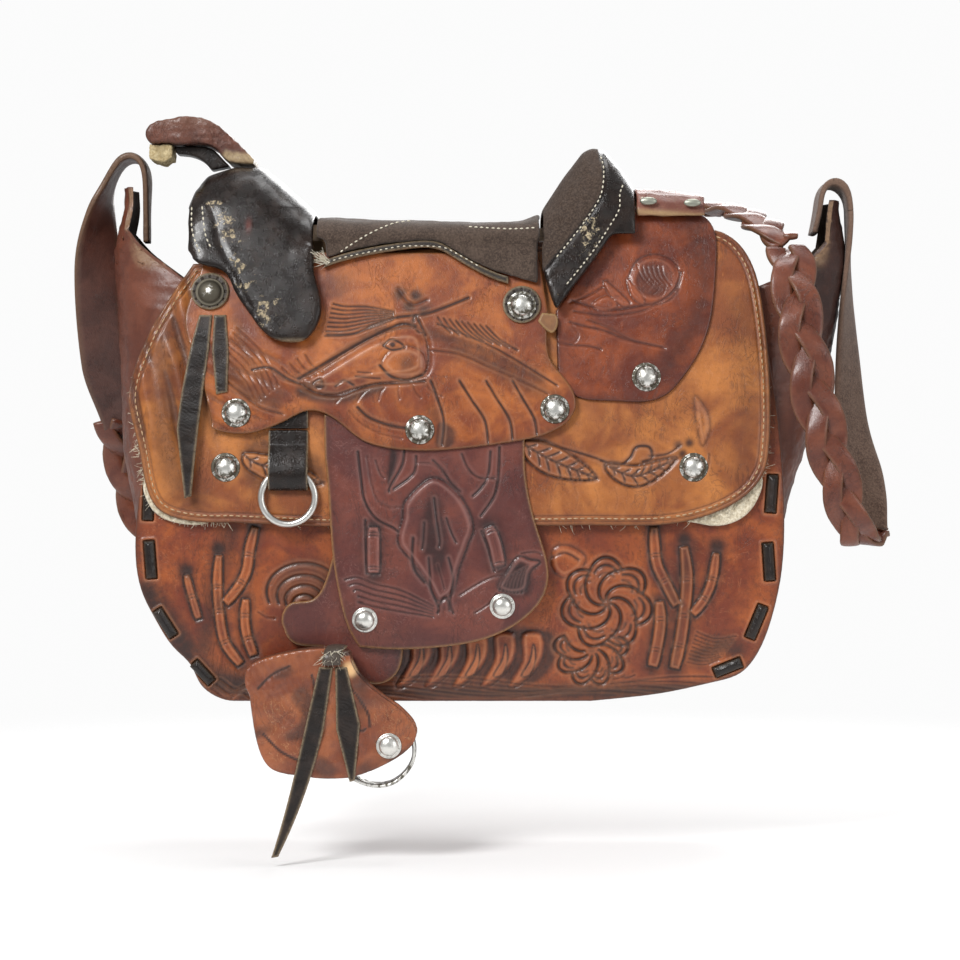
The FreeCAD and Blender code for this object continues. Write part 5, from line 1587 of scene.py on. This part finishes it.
# the middle crease is darkened as painted shade; the right ear is darker leather
paint(gusset, flesh=inside_face, dye=np.maximum(0.25 * crease, right_ear),
      worn=0.12 * ease(ripple(at[:, [1, 2]], 16, 9), 0.4, 0.9), rim=cut_edge * ease(height, 196, 204),
      edge_gap=50.0)
finish_piece(gusset, red_brown, "bag", ["gusset"])

# ---- flap: skirt, fleece and jockeys ----------------------------------------------------------------------

skirt = sheet("flap_skirt", "skirt", 0.62, tooling=skirt_tooling, wave=skirt_wave,
              fine_zone=lambda p: (p[:, 0] < -62) | (p[:, 0] > 26) | (p[:, 1] < 84))
finish_piece(skirt, tan_skirt, "saddle", ["skirt"])
back_skirt = sheet("back_skirt_leaf", "back_skirt", 0.9, BACK, skirt_tooling,
                   fine_zone=lambda p: (p[:, 0] < -62) | (p[:, 0] > 26) | (p[:, 1] < 84))
finish_piece(back_skirt, tan_skirt, "bag", ["back_skirt"])
jockey = sheet("flap_front_jockey", "front_jockey", 0.5, tooling=jockey_tooling, wave=jockey_wave)
finish_piece(jockey, tan_jockey, "saddle", ["front_jockey"])
back_jockey = sheet("back_jockey_leaf", "back_front_jockey", 0.8, BACK, jockey_tooling)
finish_piece(back_jockey, tan_jockey, "bag", ["back_front_jockey"])
rear = sheet("flap_rear_jockey", "rear_jockey", 0.55, tooling=rear_tooling, wave=rear_wave)
finish_piece(rear, red_jockey, "saddle", ["rear_jockey"])
back_rear = sheet("back_rear_leaf", "back_rear_jockey", 0.8, BACK, rear_tooling)
finish_piece(back_rear, red_jockey, "bag", ["back_rear_jockey"])


def fleece_tooling(relief):
    relief.raised += 0.35 * ripple(relief.at, 2.2, 4) + 0.3 * ripple(relief.at, 5, 8)


def on_arc(radius, flat):
    """Points of (x, z) set on the front arc of a radius."""
    return np.column_stack([flat[:, 0], arc_y(radius, flat[:, 1], FRONT), flat[:, 1]])


fleece_radius = arc_radius(np.vstack(outlines("skirt_fleece")))
fleece_loops = []
for loop in outlines("skirt_fleece"):
    shrunk = inset(loop[:, [0, 2]], 3.0)[::4]
    fleece_loops.append(on_arc(fleece_radius, shrunk))
fleece = sheet("flap_fleece", "skirt_fleece", 1.4, tooling=fleece_tooling, loops_in=fleece_loops)
finish_piece(fleece, wool, "saddle", ["skirt_fleece"])
corners = {
    "fleece_corner_right": [(100, 86), (110, 81.2), (120, 80.8), (128.6, 84.4), (134.6, 91.4), (137.4, 101),
                            (133, 112), (122, 100)],
    "fleece_corner_left": [(-108, 86), (-116, 81.4), (-125, 81.2), (-134, 83.6), (-140.4, 89),
                           (-143.6, 99), (-138, 108), (-124, 98)]}
for name, corner in corners.items():
    flat = curve(corner, True, 1.2)
    woolly = sheet(name, "skirt_fleece", 0.9, tooling=fleece_tooling,
                   loops_in=[on_arc(fleece_radius - 0.2, flat)])
    finish_piece(woolly, wool, "saddle", ["skirt_fleece"])

fleece_loop = max((split_long(loop[:, [0, 2]], 0.35) for loop in outlines("skirt_fleece")), key=len)
fleece_loop = ordered([fleece_loop])[0]
along = unit_rows(np.roll(fleece_loop, -3, axis=0) - np.roll(fleece_loop, 3, axis=0))
outward = np.column_stack([along[:, 1], -along[:, 0]])
roots, ways = [], []
for _ in range(3):
    back_off = random.uniform(1.4, 3.4, len(fleece_loop))
    spot = fleece_loop - outward * back_off[:, None]
    low_edge = fleece_loop[:, 1] < 150
    corner = near(spot[:, 0], -128, 14) + near(spot[:, 0], 124, 14)
    keep = low_edge & (random.uniform(0, 1, len(spot)) < 0.03 + 0.8 * corner)
    depth = random.uniform(0.2, 1.4, len(spot))
    roots.append(on_arc(fleece_radius - depth, spot)[keep])
    ways.append(np.column_stack([outward[:, 0], np.full(len(spot), -0.1), outward[:, 1]])[keep])
fringe = tufts("fleece_fringe", "saddle", np.vstack(roots), np.vstack(ways), wool)

SEAM_GAP = 3.1  # from the skirt's edge to its seam
back_loop = max((loop[:, [0, 2]] for loop in outlines("back_skirt", BACK)), key=len)
for name, body, loop, ground, side in (("skirt_stitches", "saddle", SKIRT_LOOP, skirt, FRONT),
                                       ("back_stitches", "bag", back_loop, back_skirt, BACK)):
    stitches = stitched(name, body, [inset(loop, SEAM_GAP)], ground_tree(ground), thread,
                        2.2, 0.8, 0.34, side)

# ---- flap top: the plate and the folded hinge leather ------------------------------------------------------

plate_top = 202.2
hinge_width, hinge_thickness = 232, 1.6
hinge_path = [(y, plate_top + 0.7 + 0.25 * math.sin(y / 9)) for y in np.linspace(-31, 31, 14)]
hinge_path += [(36.6, 202.4), (39.6, 200.0), (41.4, 196.0), (42.2, 190.0), (42.9, 184.0)]
hinge_rows = smooth_path([(-1, y, z) for y, z in hinge_path], hinge_width, hinge_thickness, (-1, 0, 0), 1.6)


def wide_ribbon(name, rows, cells=90):
    """A broad band of leather along a spine, dense enough to bend and to carry a bump."""
    middle, across = rows[:, :3], rows[:, 3:6]
    ahead = unit_rows(np.gradient(middle, axis=0))
    through = np.cross(ahead, across)
    u = np.linspace(-1, 1, cells)
    half, thick = rows[:, 6] / 2, rows[:, 7] / 2
    layers = []
    for hand in (1, -1):
        points = (middle[:, None] + across[:, None] * (half[:, None] * u)[:, :, None]
                  + through[:, None] * (hand * thick)[:, None, None])
        layers.append(points.reshape(-1, 3))
    count = len(rows)
    index = np.arange(count * cells).reshape(count, cells)
    top = np.stack([index[:-1, :-1], index[1:, :-1], index[1:, 1:], index[:-1, 1:]], -1).reshape(-1, 4)
    bottom = top[:, ::-1] + count * cells
    edge = np.concatenate([index[0, :], index[1:, -1], index[-1, -2::-1], index[-2:0:-1, 0]])
    after = np.roll(edge, -1)
    walls = np.stack([edge, after, after + count * cells, edge + count * cells], -1)
    faces = np.vstack([top, bottom, walls]).tolist()
    rim = np.zeros(count * cells)
    rim[edge] = 1
    return make_object(name, np.vstack(layers), faces, rim=np.tile(rim, 2), dye=0.0, worn=0.0, edge_gap=50.0,
                       flesh=np.repeat([0.0, 1.0], count * cells))


hinge = wide_ribbon("hinge_leather", hinge_rows)
finish_piece(hinge, red_brown)
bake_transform(hinge)

# ---- seat, cantle, swell and horn --------------------------------------------------------------------------


def white_seam(name, lines, ground, length, gap, radius):
    """White stitches along curves of the saddle, laid on their leather."""
    paths = [curve(line) for line in lines]
    marks = stitched(name, "saddle", paths, ground_tree(ground), white_thread, length, gap, radius)


seat = remeshed("seat", "seat_cover", 1.1, 8)
padded(seat, 0.6, 1.2)
relaxed(seat, 12)
at = points_of(seat)
sculpt(seat, 0.35 * ripple(at[:, [0, 1]], 30, 6) + 0.08 * ripple(at[:, [0, 2]], 7, 5))
paint(seat, dye=0.0, worn=0.0, rim=0.0, flesh=0.0)
finish_piece(seat, seat_suede, "saddle", ["seat_cover"])
seat_lines = [[(-58.6, 202), (-45, 211), (-31, 218), (-22, 220)], [(4, 216.5), (22, 215.5), (35, 216)]]
white_seam("seat_stitches", seat_lines, seat, 1.5, 1.1, 0.36)

binding = sheet("seat_edge", "seat_binding", 0.6, shade=(1, 0))
finish_piece(binding, black_string, "saddle", ["seat_binding"])
middle_line = [(-60, 199.6), (-54, 202), (-34, 206.2), (-24, 207.6), (-9, 207.2), (-2, 204.4), (10, 197.4)]
binding_radius = arc_radius(np.vstack(outlines("seat_binding")))
fray_count = 30
fray_x, fray_z = random.uniform(-63, -59, fray_count), random.normal(200.6, 0.8, fray_count)
fray_roots = np.column_stack([fray_x, arc_y(binding_radius, fray_z, FRONT) - 0.2, fray_z])
fray_ways = np.tile(unit(np.array([-1.0, -0.06, 0.12])), (fray_count, 1))
seat_fray = tufts("seat_fray", "saddle", fray_roots, fray_ways, white_thread, (4.0, 11.0), 0.2, 0.12)
white_seam("binding_stitches", [middle_line], binding, 1.3, 1.4, 0.3)

swell = remeshed("swell", "swell_cover", 1.0, 5)
padded(swell, 0.5, 1.0)
relaxed(swell, 14)
at = points_of(swell)
ridge = (np.abs(at[:, 2] - 214) < 12) & (at[:, 0] > -126) & (at[:, 0] < -69)
relaxed(swell, 120, ridge)
at = points_of(swell)
flat = at[:, [0, 2]]
creases = np.zeros(len(at))
for line, deep, wide in (([(-120, 236), (-112, 222), (-108, 207), (-98, 190), (-88, 172)], 0.9, 1.6),
                         ([(-70, 224), (-75, 214), (-78, 203)], 0.35, 2.4)):
    creases -= deep * near(gap_to_line(flat, line), 0, wide)
folds = 0.14 * ripple(flat, 24, 12) + 0.03 * ripple(flat, 8, 13)
sculpt(swell, 0.6 * creases + folds)
flaked_line = [(-112, 226), (-106, 212), (-99, 198), (-91, 184), (-86, 176)]
flecks = near(gap_to_line(flat, flaked_line), 0, 7.5)
flecks *= np.clip(0.7 + 0.6 * ripple(flat, 8, 20), 0, 1)
foot = near(at[:, 2], 166, 5)
slit = np.exp(-(((at[:, 0] + 96) / 1.2) ** 2 + ((at[:, 2] - 217) / 3) ** 2))
paint(swell, worn=np.clip(0.9 * flecks + 0.3 * foot + 0.12 + 0.2 * ripple(flat, 14, 19), 0, 1),
      rim=near(at[:, 2], 163.5, 1.2), dye=0.6 * slit, flesh=0.0)
finish_piece(swell, black_shell, "saddle", ["swell_cover"])
swell_lines = [[(-122.5, 226), (-121.5, 214), (-117.5, 203.5)], [(-117.5, 226), (-115.6, 213), (-112.6, 206)]]
white_seam("swell_stitches", swell_lines, swell, 1.6, 1.0, 0.38)

cantle = remeshed("cantle", "cantle_cover", 1.0, 5)
padded(cantle, 0.5, 0.9)
relaxed(cantle, 12)
at = points_of(cantle)
flat = at[:, [0, 2]]
pull = 0.12 * ripple(flat, 22, 22) + 0.03 * ripple(flat, 7, 23)
inner_seam = gap_to_line(flat, [(65, 254), (66.7, 243), (65, 230.5), (51, 211), (43.7, 202), (38, 194.6)])
sculpt(cantle, pull - 0.5 * near(inner_seam, 0, 0.9))
# sheen_spot is a painted highlight: pale flaked hide put where light shines on the glossy roll, added to
# flaking that is heavier on the front face
sheen_spot = np.exp(-(((at[:, 0] - 59) / 5) ** 2 + ((at[:, 2] - 214) / 10) ** 2))
inner = curve([(72, 262), (65.5, 254), (66.7, 243), (65, 230.5), (51, 211), (43.7, 202), (36, 192)])
edge_x = np.interp(at[:, 2], inner[::-1, 1], inner[::-1, 0])
suede_side = ease(edge_x - at[:, 0] - 1.6, -0.4, 0.4)
rubbed_and_sheen = np.clip(0.6 * sheen_spot + 0.22 + 0.25 * ease(at[:, 1], -30, -50), 0, 1)
paint(cantle, nap=suede_side, worn=(1 - suede_side) * rubbed_and_sheen, rim=0.0, dye=0.0, flesh=0.0)
finish_piece(cantle, black_shell, "saddle", ["cantle_cover"])
cantle_lines = [[(64, 252), (65.7, 243), (64, 230.5), (57, 219), (51, 211), (43.7, 202)],
                [(75.5, 238), (73, 232), (72.5, 224.5), (69, 218), (62.6, 208), (56.4, 199.6), (47, 188)]]
white_seam("cantle_stitches", cantle_lines, cantle, 1.4, 1.0, 0.36)

band = remeshed("band", "rear_band", 1.0, 4)
at = points_of(band)
flat = at[:, [0, 2]]
sculpt(band, 0.25 * ripple(at[:, [0, 1]], 16, 31) + 0.15 * ripple(flat, 9, 32))
low_edge = np.exp(-(((at[:, 2] - (222.5 - 0.08 * (at[:, 0] - 96))) / 1.4) ** 2)) * (at[:, 1] < -30)
paint(band, worn=0.8 * low_edge, rim=low_edge, dye=0.0, flesh=0.0)
finish_piece(band, band_leather, "saddle", ["rear_band"])
band_lines = [[(83, 229.5), (84.4, 232.5)], [(107.4, 231), (109.6, 228.6)]]
white_seam("band_stitches", band_lines, band, 1.4, 1.0, 0.36)

horn = remeshed("horn_cap", "horn_cover", 0.8, 4)
at = points_of(horn)
flat = at[:, [0, 2]]
sculpt(horn, 0.3 * ripple(at[:, [0, 1]], 8, 41) + 0.18 * ripple(flat, 3.5, 42))
under = ease(253.5 - at[:, 2] + 0.8 * ripple(flat, 6, 44), -1.0, 1.2)
paint(horn, rim=under * 0.9, worn=0.35 * ease(at[:, 2], 262, 270), dye=0.0, flesh=0.0)
finish_piece(horn, horn_leather, "saddle", ["horn_cover"])
horn_stem = remeshed("horn_stem", "horn_neck", 0.7, 5)
paint(horn_stem, worn=0.2, rim=0.0, dye=0.0, flesh=0.0)
finish_piece(horn_stem, black_shell, "saddle", ["horn_neck"])
pad = remeshed("horn_foam", "horn_pad", 0.6, 3)
at = points_of(pad)
sculpt(pad, 0.25 * ripple(at[:, [0, 1]], 2.2, 45) + 0.2 * ripple(at[:, [1, 2]], 1.4, 46))
paint(pad, rim=0.0)
finish_piece(pad, foam, "saddle", ["horn_pad"])

# ---- stirrup ----------------------------------------------------------------------------------------------

hood = remeshed("hood", "tapadero_hood", 0.8, 6)
padded(hood, 0.4, 0.8)
relaxed(hood, 6)
at = points_of(hood)
flat = at[:, [0, 2]]
wrinkled = ease(-at[:, 0], 62, 78) * ease(at[:, 2], -6, 8)
bend_lines = np.sin((flat[:, 0] + 0.6 * flat[:, 1]) * 2 * math.pi / 3.6 + 1.5 * np.sin(flat[:, 1] / 5))
cuts = np.zeros(len(at))
for line in ([(-51, 10), (-46, 5), (-41, -3), (-40, -9)], [(-47, -8), (-44, -11), (-42, -10)],
             [(-88, -12), (-80, -20), (-70, -25)], [(-90, 8), (-84, 14), (-76, 18)],
             [(-66, -8), (-64, 4), (-66, 14)]):
    cuts -= 0.5 * near(gap_to_line(flat, line), 0, 0.6)
facing = np.clip(-normals_of(hood)[:, 1], 0, 1)
sculpt(hood, (0.28 * wrinkled * bend_lines + cuts + 0.4 * ripple(flat, 13, 51)) * facing)
patch = np.exp(-(((at[:, 0] + 49) / 3.6) ** 2 + ((at[:, 2] - 16.5) / 3.4) ** 2) ** 2)
# a slot painted as a dark mark: painted shade of a hole
hole = np.exp(-(((at[:, 0] + 51) / 4.2) ** 2 + ((at[:, 2] - 24) / 1.4) ** 2) ** 2)
# how far the surface turns from the front: painted shade there, and a faint tint of the edge colour as
# painted sheen
turned_side_shade_and_sheen = ease(1 - facing, 0.35, 0.8)
paint(hood, worn=np.clip(1.9 * patch * facing, 0, 2), dye=np.clip(hole + np.clip(-cuts, 0, 1), 0, 1),
      rim=0.25 * turned_side_shade_and_sheen, flesh=0.0)
# the hood's darkening: painted shade in the hole, the sculpted grooves and the turned sides, over mottled dye
hood_dye = np.maximum(hole, np.clip(-2 * cuts, 0, 1))
hood_dye = np.maximum(hood_dye, 0.55 * ease(ripple(flat, 26, 53), 0.1, 0.9) + 0.5 * turned_side_shade_and_sheen)
paint(hood, dye=np.clip(hood_dye, 0, 1))
finish_piece(hood, hood_leather, "stirrup", ["tapadero_hood"])

tread = remeshed("stirrup_tread", "stirrup_frame", 0.7, 3)
paint(tread, tarnish=0.35 + 0.3 * ripple(points_of(tread)[:, [0, 1]], 3, 52))
finish_piece(tread, silver, "stirrup", ["stirrup_frame"])
tie_path = [(-57, -67.2, 18.6), (-57, -67.2, 21.4), (-56.4, -65.6, 24.2), (-55.4, -62, 26),
            (-54.6, -57, 26.4)]
tie_rows = smooth_path(tie_path, 8.0, 1.4, (1, 0, 0))
tie = joined("tail_tie", [ribbon(tie_rows, ragged=0.2, crown=0.8)])
finish_piece(tie, black_string, nodes=["tapadero_knot"])
fray_box = ((-61, -53), (-67.9, -67.2), (20, 25))
frayed = np.column_stack([random.uniform(*span, 50) for span in fray_box])
away = unit_rows((frayed - np.array([-57, -66, 27])) * np.array([1.0, 0.3, 1.0]))
fray = tufts("tail_fray", None, frayed, away, white_thread, (1.2, 3.6), 0.13)
for piece in (tie, fray):
    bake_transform(piece)
leathers = sheet("stirrup_leathers", "stirrup_strap", 0.8)
finish_piece(leathers, maroon, "fender", ["stirrup_strap"])


def string_tooling(relief):
    """Fine wrinkles across a soft string."""
    share = 0.5 + 0.5 * ripple(relief.at, 11, 63)
    bend = relief.at[:, 1] + 0.5 * relief.at[:, 0]
    relief.raised += 0.035 * share * np.sin(bend * 2 * math.pi / 1.7 + 2.5 * ripple(relief.at, 7, 61))
    relief.raised += 0.12 * ripple(relief.at, 12, 62)


for name, node, body, plane in (("long_strings", "saddle_strings", "strings", False),
                                ("hood_tails", "tapadero_strings", "tails", True)):
    string = sheet(name, node, 0.42, tooling=string_tooling, rim=0.5, shade=(1, 0), back_spacing=2,
                   plane=plane)
    finish_piece(string, black_string, body, [node])

# ---- fender, cinch, rosettes ------------------------------------------------------------------------------

fender_outline = outlines("fender")[0].copy()
top_line = fender_outline[:, 2].max()
upper = fender_outline[:, 2] > top_line - 0.5
raised_top = 131.0
fender_outline[upper, 2] = raised_top
fender_outline[upper, 1] = arc_y(arc_radius(outlines("fender")[0]), raised_top, FRONT)
fender = sheet("fender_leaf", "fender", 0.5, tooling=fender_tooling, wave=fender_wave,
               loops_in=[fender_outline])
finish_piece(fender, maroon, nodes=["fender", "fender_top"])
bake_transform(fender)

for name, node, body in (("cinch_upper", "cinch_strap_top", "saddle"),
                         ("cinch_loop", "cinch_strap", "cinch")):
    strap = remeshed(name, node, 0.6, 2)
    at = points_of(strap)
    sculpt(strap, 0.05 * ripple(at[:, [0, 2]], 7, 71))
    across = np.abs(at[:, 0] + 77.5)
    paint(strap, rim=ease(across, 8.0, 8.9), worn=0.15, dye=0.0, flesh=0.0)
    finish_piece(strap, black_shell, body, [node])


def petal_tooling(middle):
    """Short cuts from the middle of a rosette to its scalloped edge."""
    def tooling(relief):
        for k in range(12):
            angle = 2 * math.pi * k / 12
            way = np.array([math.cos(angle), math.sin(angle)])
            relief.cut([middle + 5.5 * way, middle + 7.4 * way], 0.4, 0.4, 0.8)
    return tooling


for name, node in (("string_flower", "string_rosette"), ("seat_flower", "seat_rosette")):
    low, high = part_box(node)
    middle = np.array([(low.x + high.x) / 2, (low.z + high.z) / 2]) / MM
    flower = sheet(name, node, 0.4, tooling=petal_tooling(middle), rim=0.7, back_spacing=2)
    finish_piece(flower, rosette_leather, "saddle", [node])
thong = sheet("seat_lace", "seat_thong", 0.4, back_spacing=2)
finish_piece(thong, thong_leather, "saddle", ["seat_thong"])

concho_places = (
    ("skirt_silver", "skirt_conchos", "saddle"),
    ("jockey_silver", "front_jockey_conchos", "saddle"),
    ("rear_silver", "rear_jockey_concho", "saddle"),
    ("back_skirt_silver", "back_skirt_conchos", "bag"),
    ("back_jockey_silver", "back_jockey_conchos", "bag"),
    ("string_silver", "string_concho", "saddle"),
    ("seat_silver", "seat_concho", "saddle"),
    ("fender_silver", "fender_conchos", "fender"),
    ("hood_silver", "tapadero_concho", "stirrup"))
for name, node, body in concho_places:
    plain_one = body in ("fender", "stirrup")
    tarnished = 2.6 if name == "string_silver" else 0.8
    conchos(name, node, body, silver, 0.012 if plain_one else 0.016, 0.25 if plain_one else tarnished)

# ---- carrying straps --------------------------------------------------------------------------------------


def strap_rows(*legs):
    """Spine rows of several nodes that follow one another, each given with a start and a way to go."""
    rows = [spine(node, start, ahead) for node, start, ahead in legs]
    for before, after in zip(rows, rows[1:]):
        if before[-1][3:6] @ after[0][3:6] < 0:
            after[:, 3:6] *= -1
    return np.vstack(rows)


def suede_strap(name, rows, **kwargs):
    obj = joined(name, [ribbon(rows, ragged=0.0, cup=0.35, **kwargs)])
    at = points_of(obj)
    paint(obj, worn=0.25 * ease(ripple(at[:, [1, 2]], 14, 81), 0.2, 0.8))
    return obj


def split_at_fold(rows, crest_z, hinge_z):
    """The rows of a folded strap as its fixed end, its bend and its free leg."""
    crest = int(np.argmax(rows[:, 2]))
    turn = crest + int(np.argmax(rows[crest:, 2] < crest_z))
    free = crest + int(np.argmax(rows[crest:, 2] < hinge_z))
    return rows[:turn + 1], rows[turn:free + 1], rows[free:]


for hand, end_start, flat_start, turn_z, free_z, hinge_at, braid_start in (
        ("right", (166.2, 0, 217), (182.4, 0, 231), 240.5, 228,
         ((0.1805, 0, 0.2400), (0.1824, 0, 0.2285)), (190, -31.6, 79)),
        ("left", (-147.4, 0, 213), (-166, 0, 240), 250.0, 236,
         ((-0.1600, 0, 0.2500), (-0.1664, 0, 0.2365)), (-166.6, 36.4, 127))):
    end_node, flat_node, joint_body = f"strap_end_{hand}", f"strap_{hand}_flat", f"strap_{hand}"
    rows = strap_rows((end_node, end_start, (0, 0, 1)), (flat_node, flat_start, (0, 0.05, -1)))
    braid_top = np.array(braid_start)
    tail = rows[-1].copy()
    links = [tail.copy() for _ in range(3)]
    for share, link in zip((0.35, 0.7, 1.0), links):
        link[:3] = tail[:3] + (braid_top - tail[:3]) * share
    rows, _ = resampled(np.vstack([rows, links]), 1.0, 6)
    rest_of_run = np.linalg.norm(np.diff(rows[:, :3], axis=0), axis=1)[::-1].cumsum()[::-1]
    rows[:, 6] *= 1 - 0.38 * (1 - ease(np.append(rest_of_run, 0), 0, 34))
    fixed, bend, free = split_at_fold(rows, turn_z, free_z)
    for word, part, body, caps in (("end", fixed, "bag", (True, False)), ("bend", bend, None, (False, False)),
                                   ("leg", free, joint_body, (False, True))):
        if len(part) < 3:
            raise ValueError(f"strap {hand} {word}: too short")
        piece = suede_strap(f"strap_{hand}_{word}", part, caps=caps)
        nodes = {"end": [end_node], "leg": [flat_node], "bend": [end_node]}[word]
        look = strap_suede if hand == "right" else strap_leather
        finish_piece(piece, look, body, nodes)
        if body is None:
            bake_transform(piece)

right_rows = spine("strap_right_braid", (150.2, -33, 206), (0, -0.6, -1))
rear_rows = spine("strap_rear_braid", (147, -21, 212), (-0.3, 1, 0.6))
rear_rows[:, 3:6] *= -1
for name, rows, node, body, turn in (("braid_right", right_rows, "strap_right_braid", "strap_right", 0.6),
                                     ("braid_rear", rear_rows, "strap_rear_braid", "strap_left", 2.0)):
    plait = braid(name, rows, strand=0.47, start=turn)
    finish_piece(plait, braid_leather, body, [node])

# ---- materials on the hard parts --------------------------------------------------------------------------


def dress(node, material):
    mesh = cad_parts[node].data
    mesh.materials.clear()
    mesh.materials.append(material)
    mesh.polygons.foreach_set("material_index", np.zeros(len(mesh.polygons), int))


for node, material in (("cinch_ring", steel), ("saddle_tree", bare_wood), ("snap_stud", steel),
                       ("snap_socket", steel), ("rear_band_rivets", rivet_metal)):
    dress(node, material)

# ---- stage, lights and camera -----------------------------------------------------------------------------

lowest = cad_box[0].z


def floor():
    """A pale floor under the bag that fades out into the white all round."""
    level = lowest - 0.004
    reach = 0.9
    corners = ((-reach, -reach), (reach, -reach), (reach, reach), (-reach, reach))
    points = [(x / MM, y / MM, level / MM) for x, y in corners]
    stage = make_object("floor", points, [(0, 1, 2, 3)])
    s = Shader("floor_white")
    place = s.node("TexCoord", "Object")
    away = s.node("VectorMath", "Value", {"operation": "LENGTH"}, Vector=place)
    s.put(s.surface.inputs["Base Color"], (0.9, 0.9, 0.9))
    s.put(s.surface.inputs["Roughness"], 0.9)
    s.put(s.surface.inputs["Alpha"], s.ramp(away, 0.15, 0.8, 1.0, 0.0))
    stage.data.materials.append(s.material)


def surroundings(light, seen):
    """An even sky that lights the bag with one strength and shows white behind it."""
    world = bpy.data.worlds.new("world")
    world.use_nodes = True
    tree = world.node_tree
    shown = tree.nodes["Background"]
    shown.inputs["Color"].default_value = (1, 1, 1, 1)
    path = tree.nodes.new("ShaderNodeLightPath")
    strength = tree.nodes.new("ShaderNodeMapRange")
    strength.inputs["To Min"].default_value = light
    strength.inputs["To Max"].default_value = seen
    tree.links.new(path.outputs["Is Camera Ray"], strength.inputs["Value"])
    tree.links.new(strength.outputs[0], shown.inputs["Strength"])
    bpy.context.scene.world = world


def area_light(name, place, aim, size, power):
    data = bpy.data.lights.new(name, "AREA")
    data.shape = "DISK"
    data.size = size
    data.energy = power
    light = bpy.data.objects.new(name, data)
    light.location = place
    light.rotation_mode = "QUATERNION"
    light.rotation_quaternion = (Vector(aim) - Vector(place)).to_track_quat("-Z", "Y")
    bpy.context.scene.collection.objects.link(light)


def camera():
    data = bpy.data.cameras.new("camera")
    data.lens = 100
    data.sensor_width = 36
    frame_width = 0.4416
    aim = Vector((0.0092, -0.03, 0.1012))
    reach = frame_width * data.lens / data.sensor_width
    eye = bpy.data.objects.new("camera", data)
    eye.location = aim + Vector((0, -reach, 0.0))
    eye.rotation_mode = "QUATERNION"
    eye.rotation_quaternion = (aim - eye.location).to_track_quat("-Z", "Y")
    bpy.context.scene.collection.objects.link(eye)
    bpy.context.scene.camera = eye


floor()
camera()
area_light("key", (-0.7, -1.2, 1.0), (0, 0, 0.1), 0.55, 22)
area_light("fill", (1.1, -1.0, 0.4), (0, 0, 0.1), 1.0, 5)
area_light("top", (0.2, 0.2, 1.5), (0, 0, 0.15), 0.8, 9)
area_light("back", (0.3, 1.4, 0.8), (0, 0, 0.1), 1.0, 14)
surroundings(0.42, 0.97)
bpy.context.scene.view_settings.view_transform = "Standard"
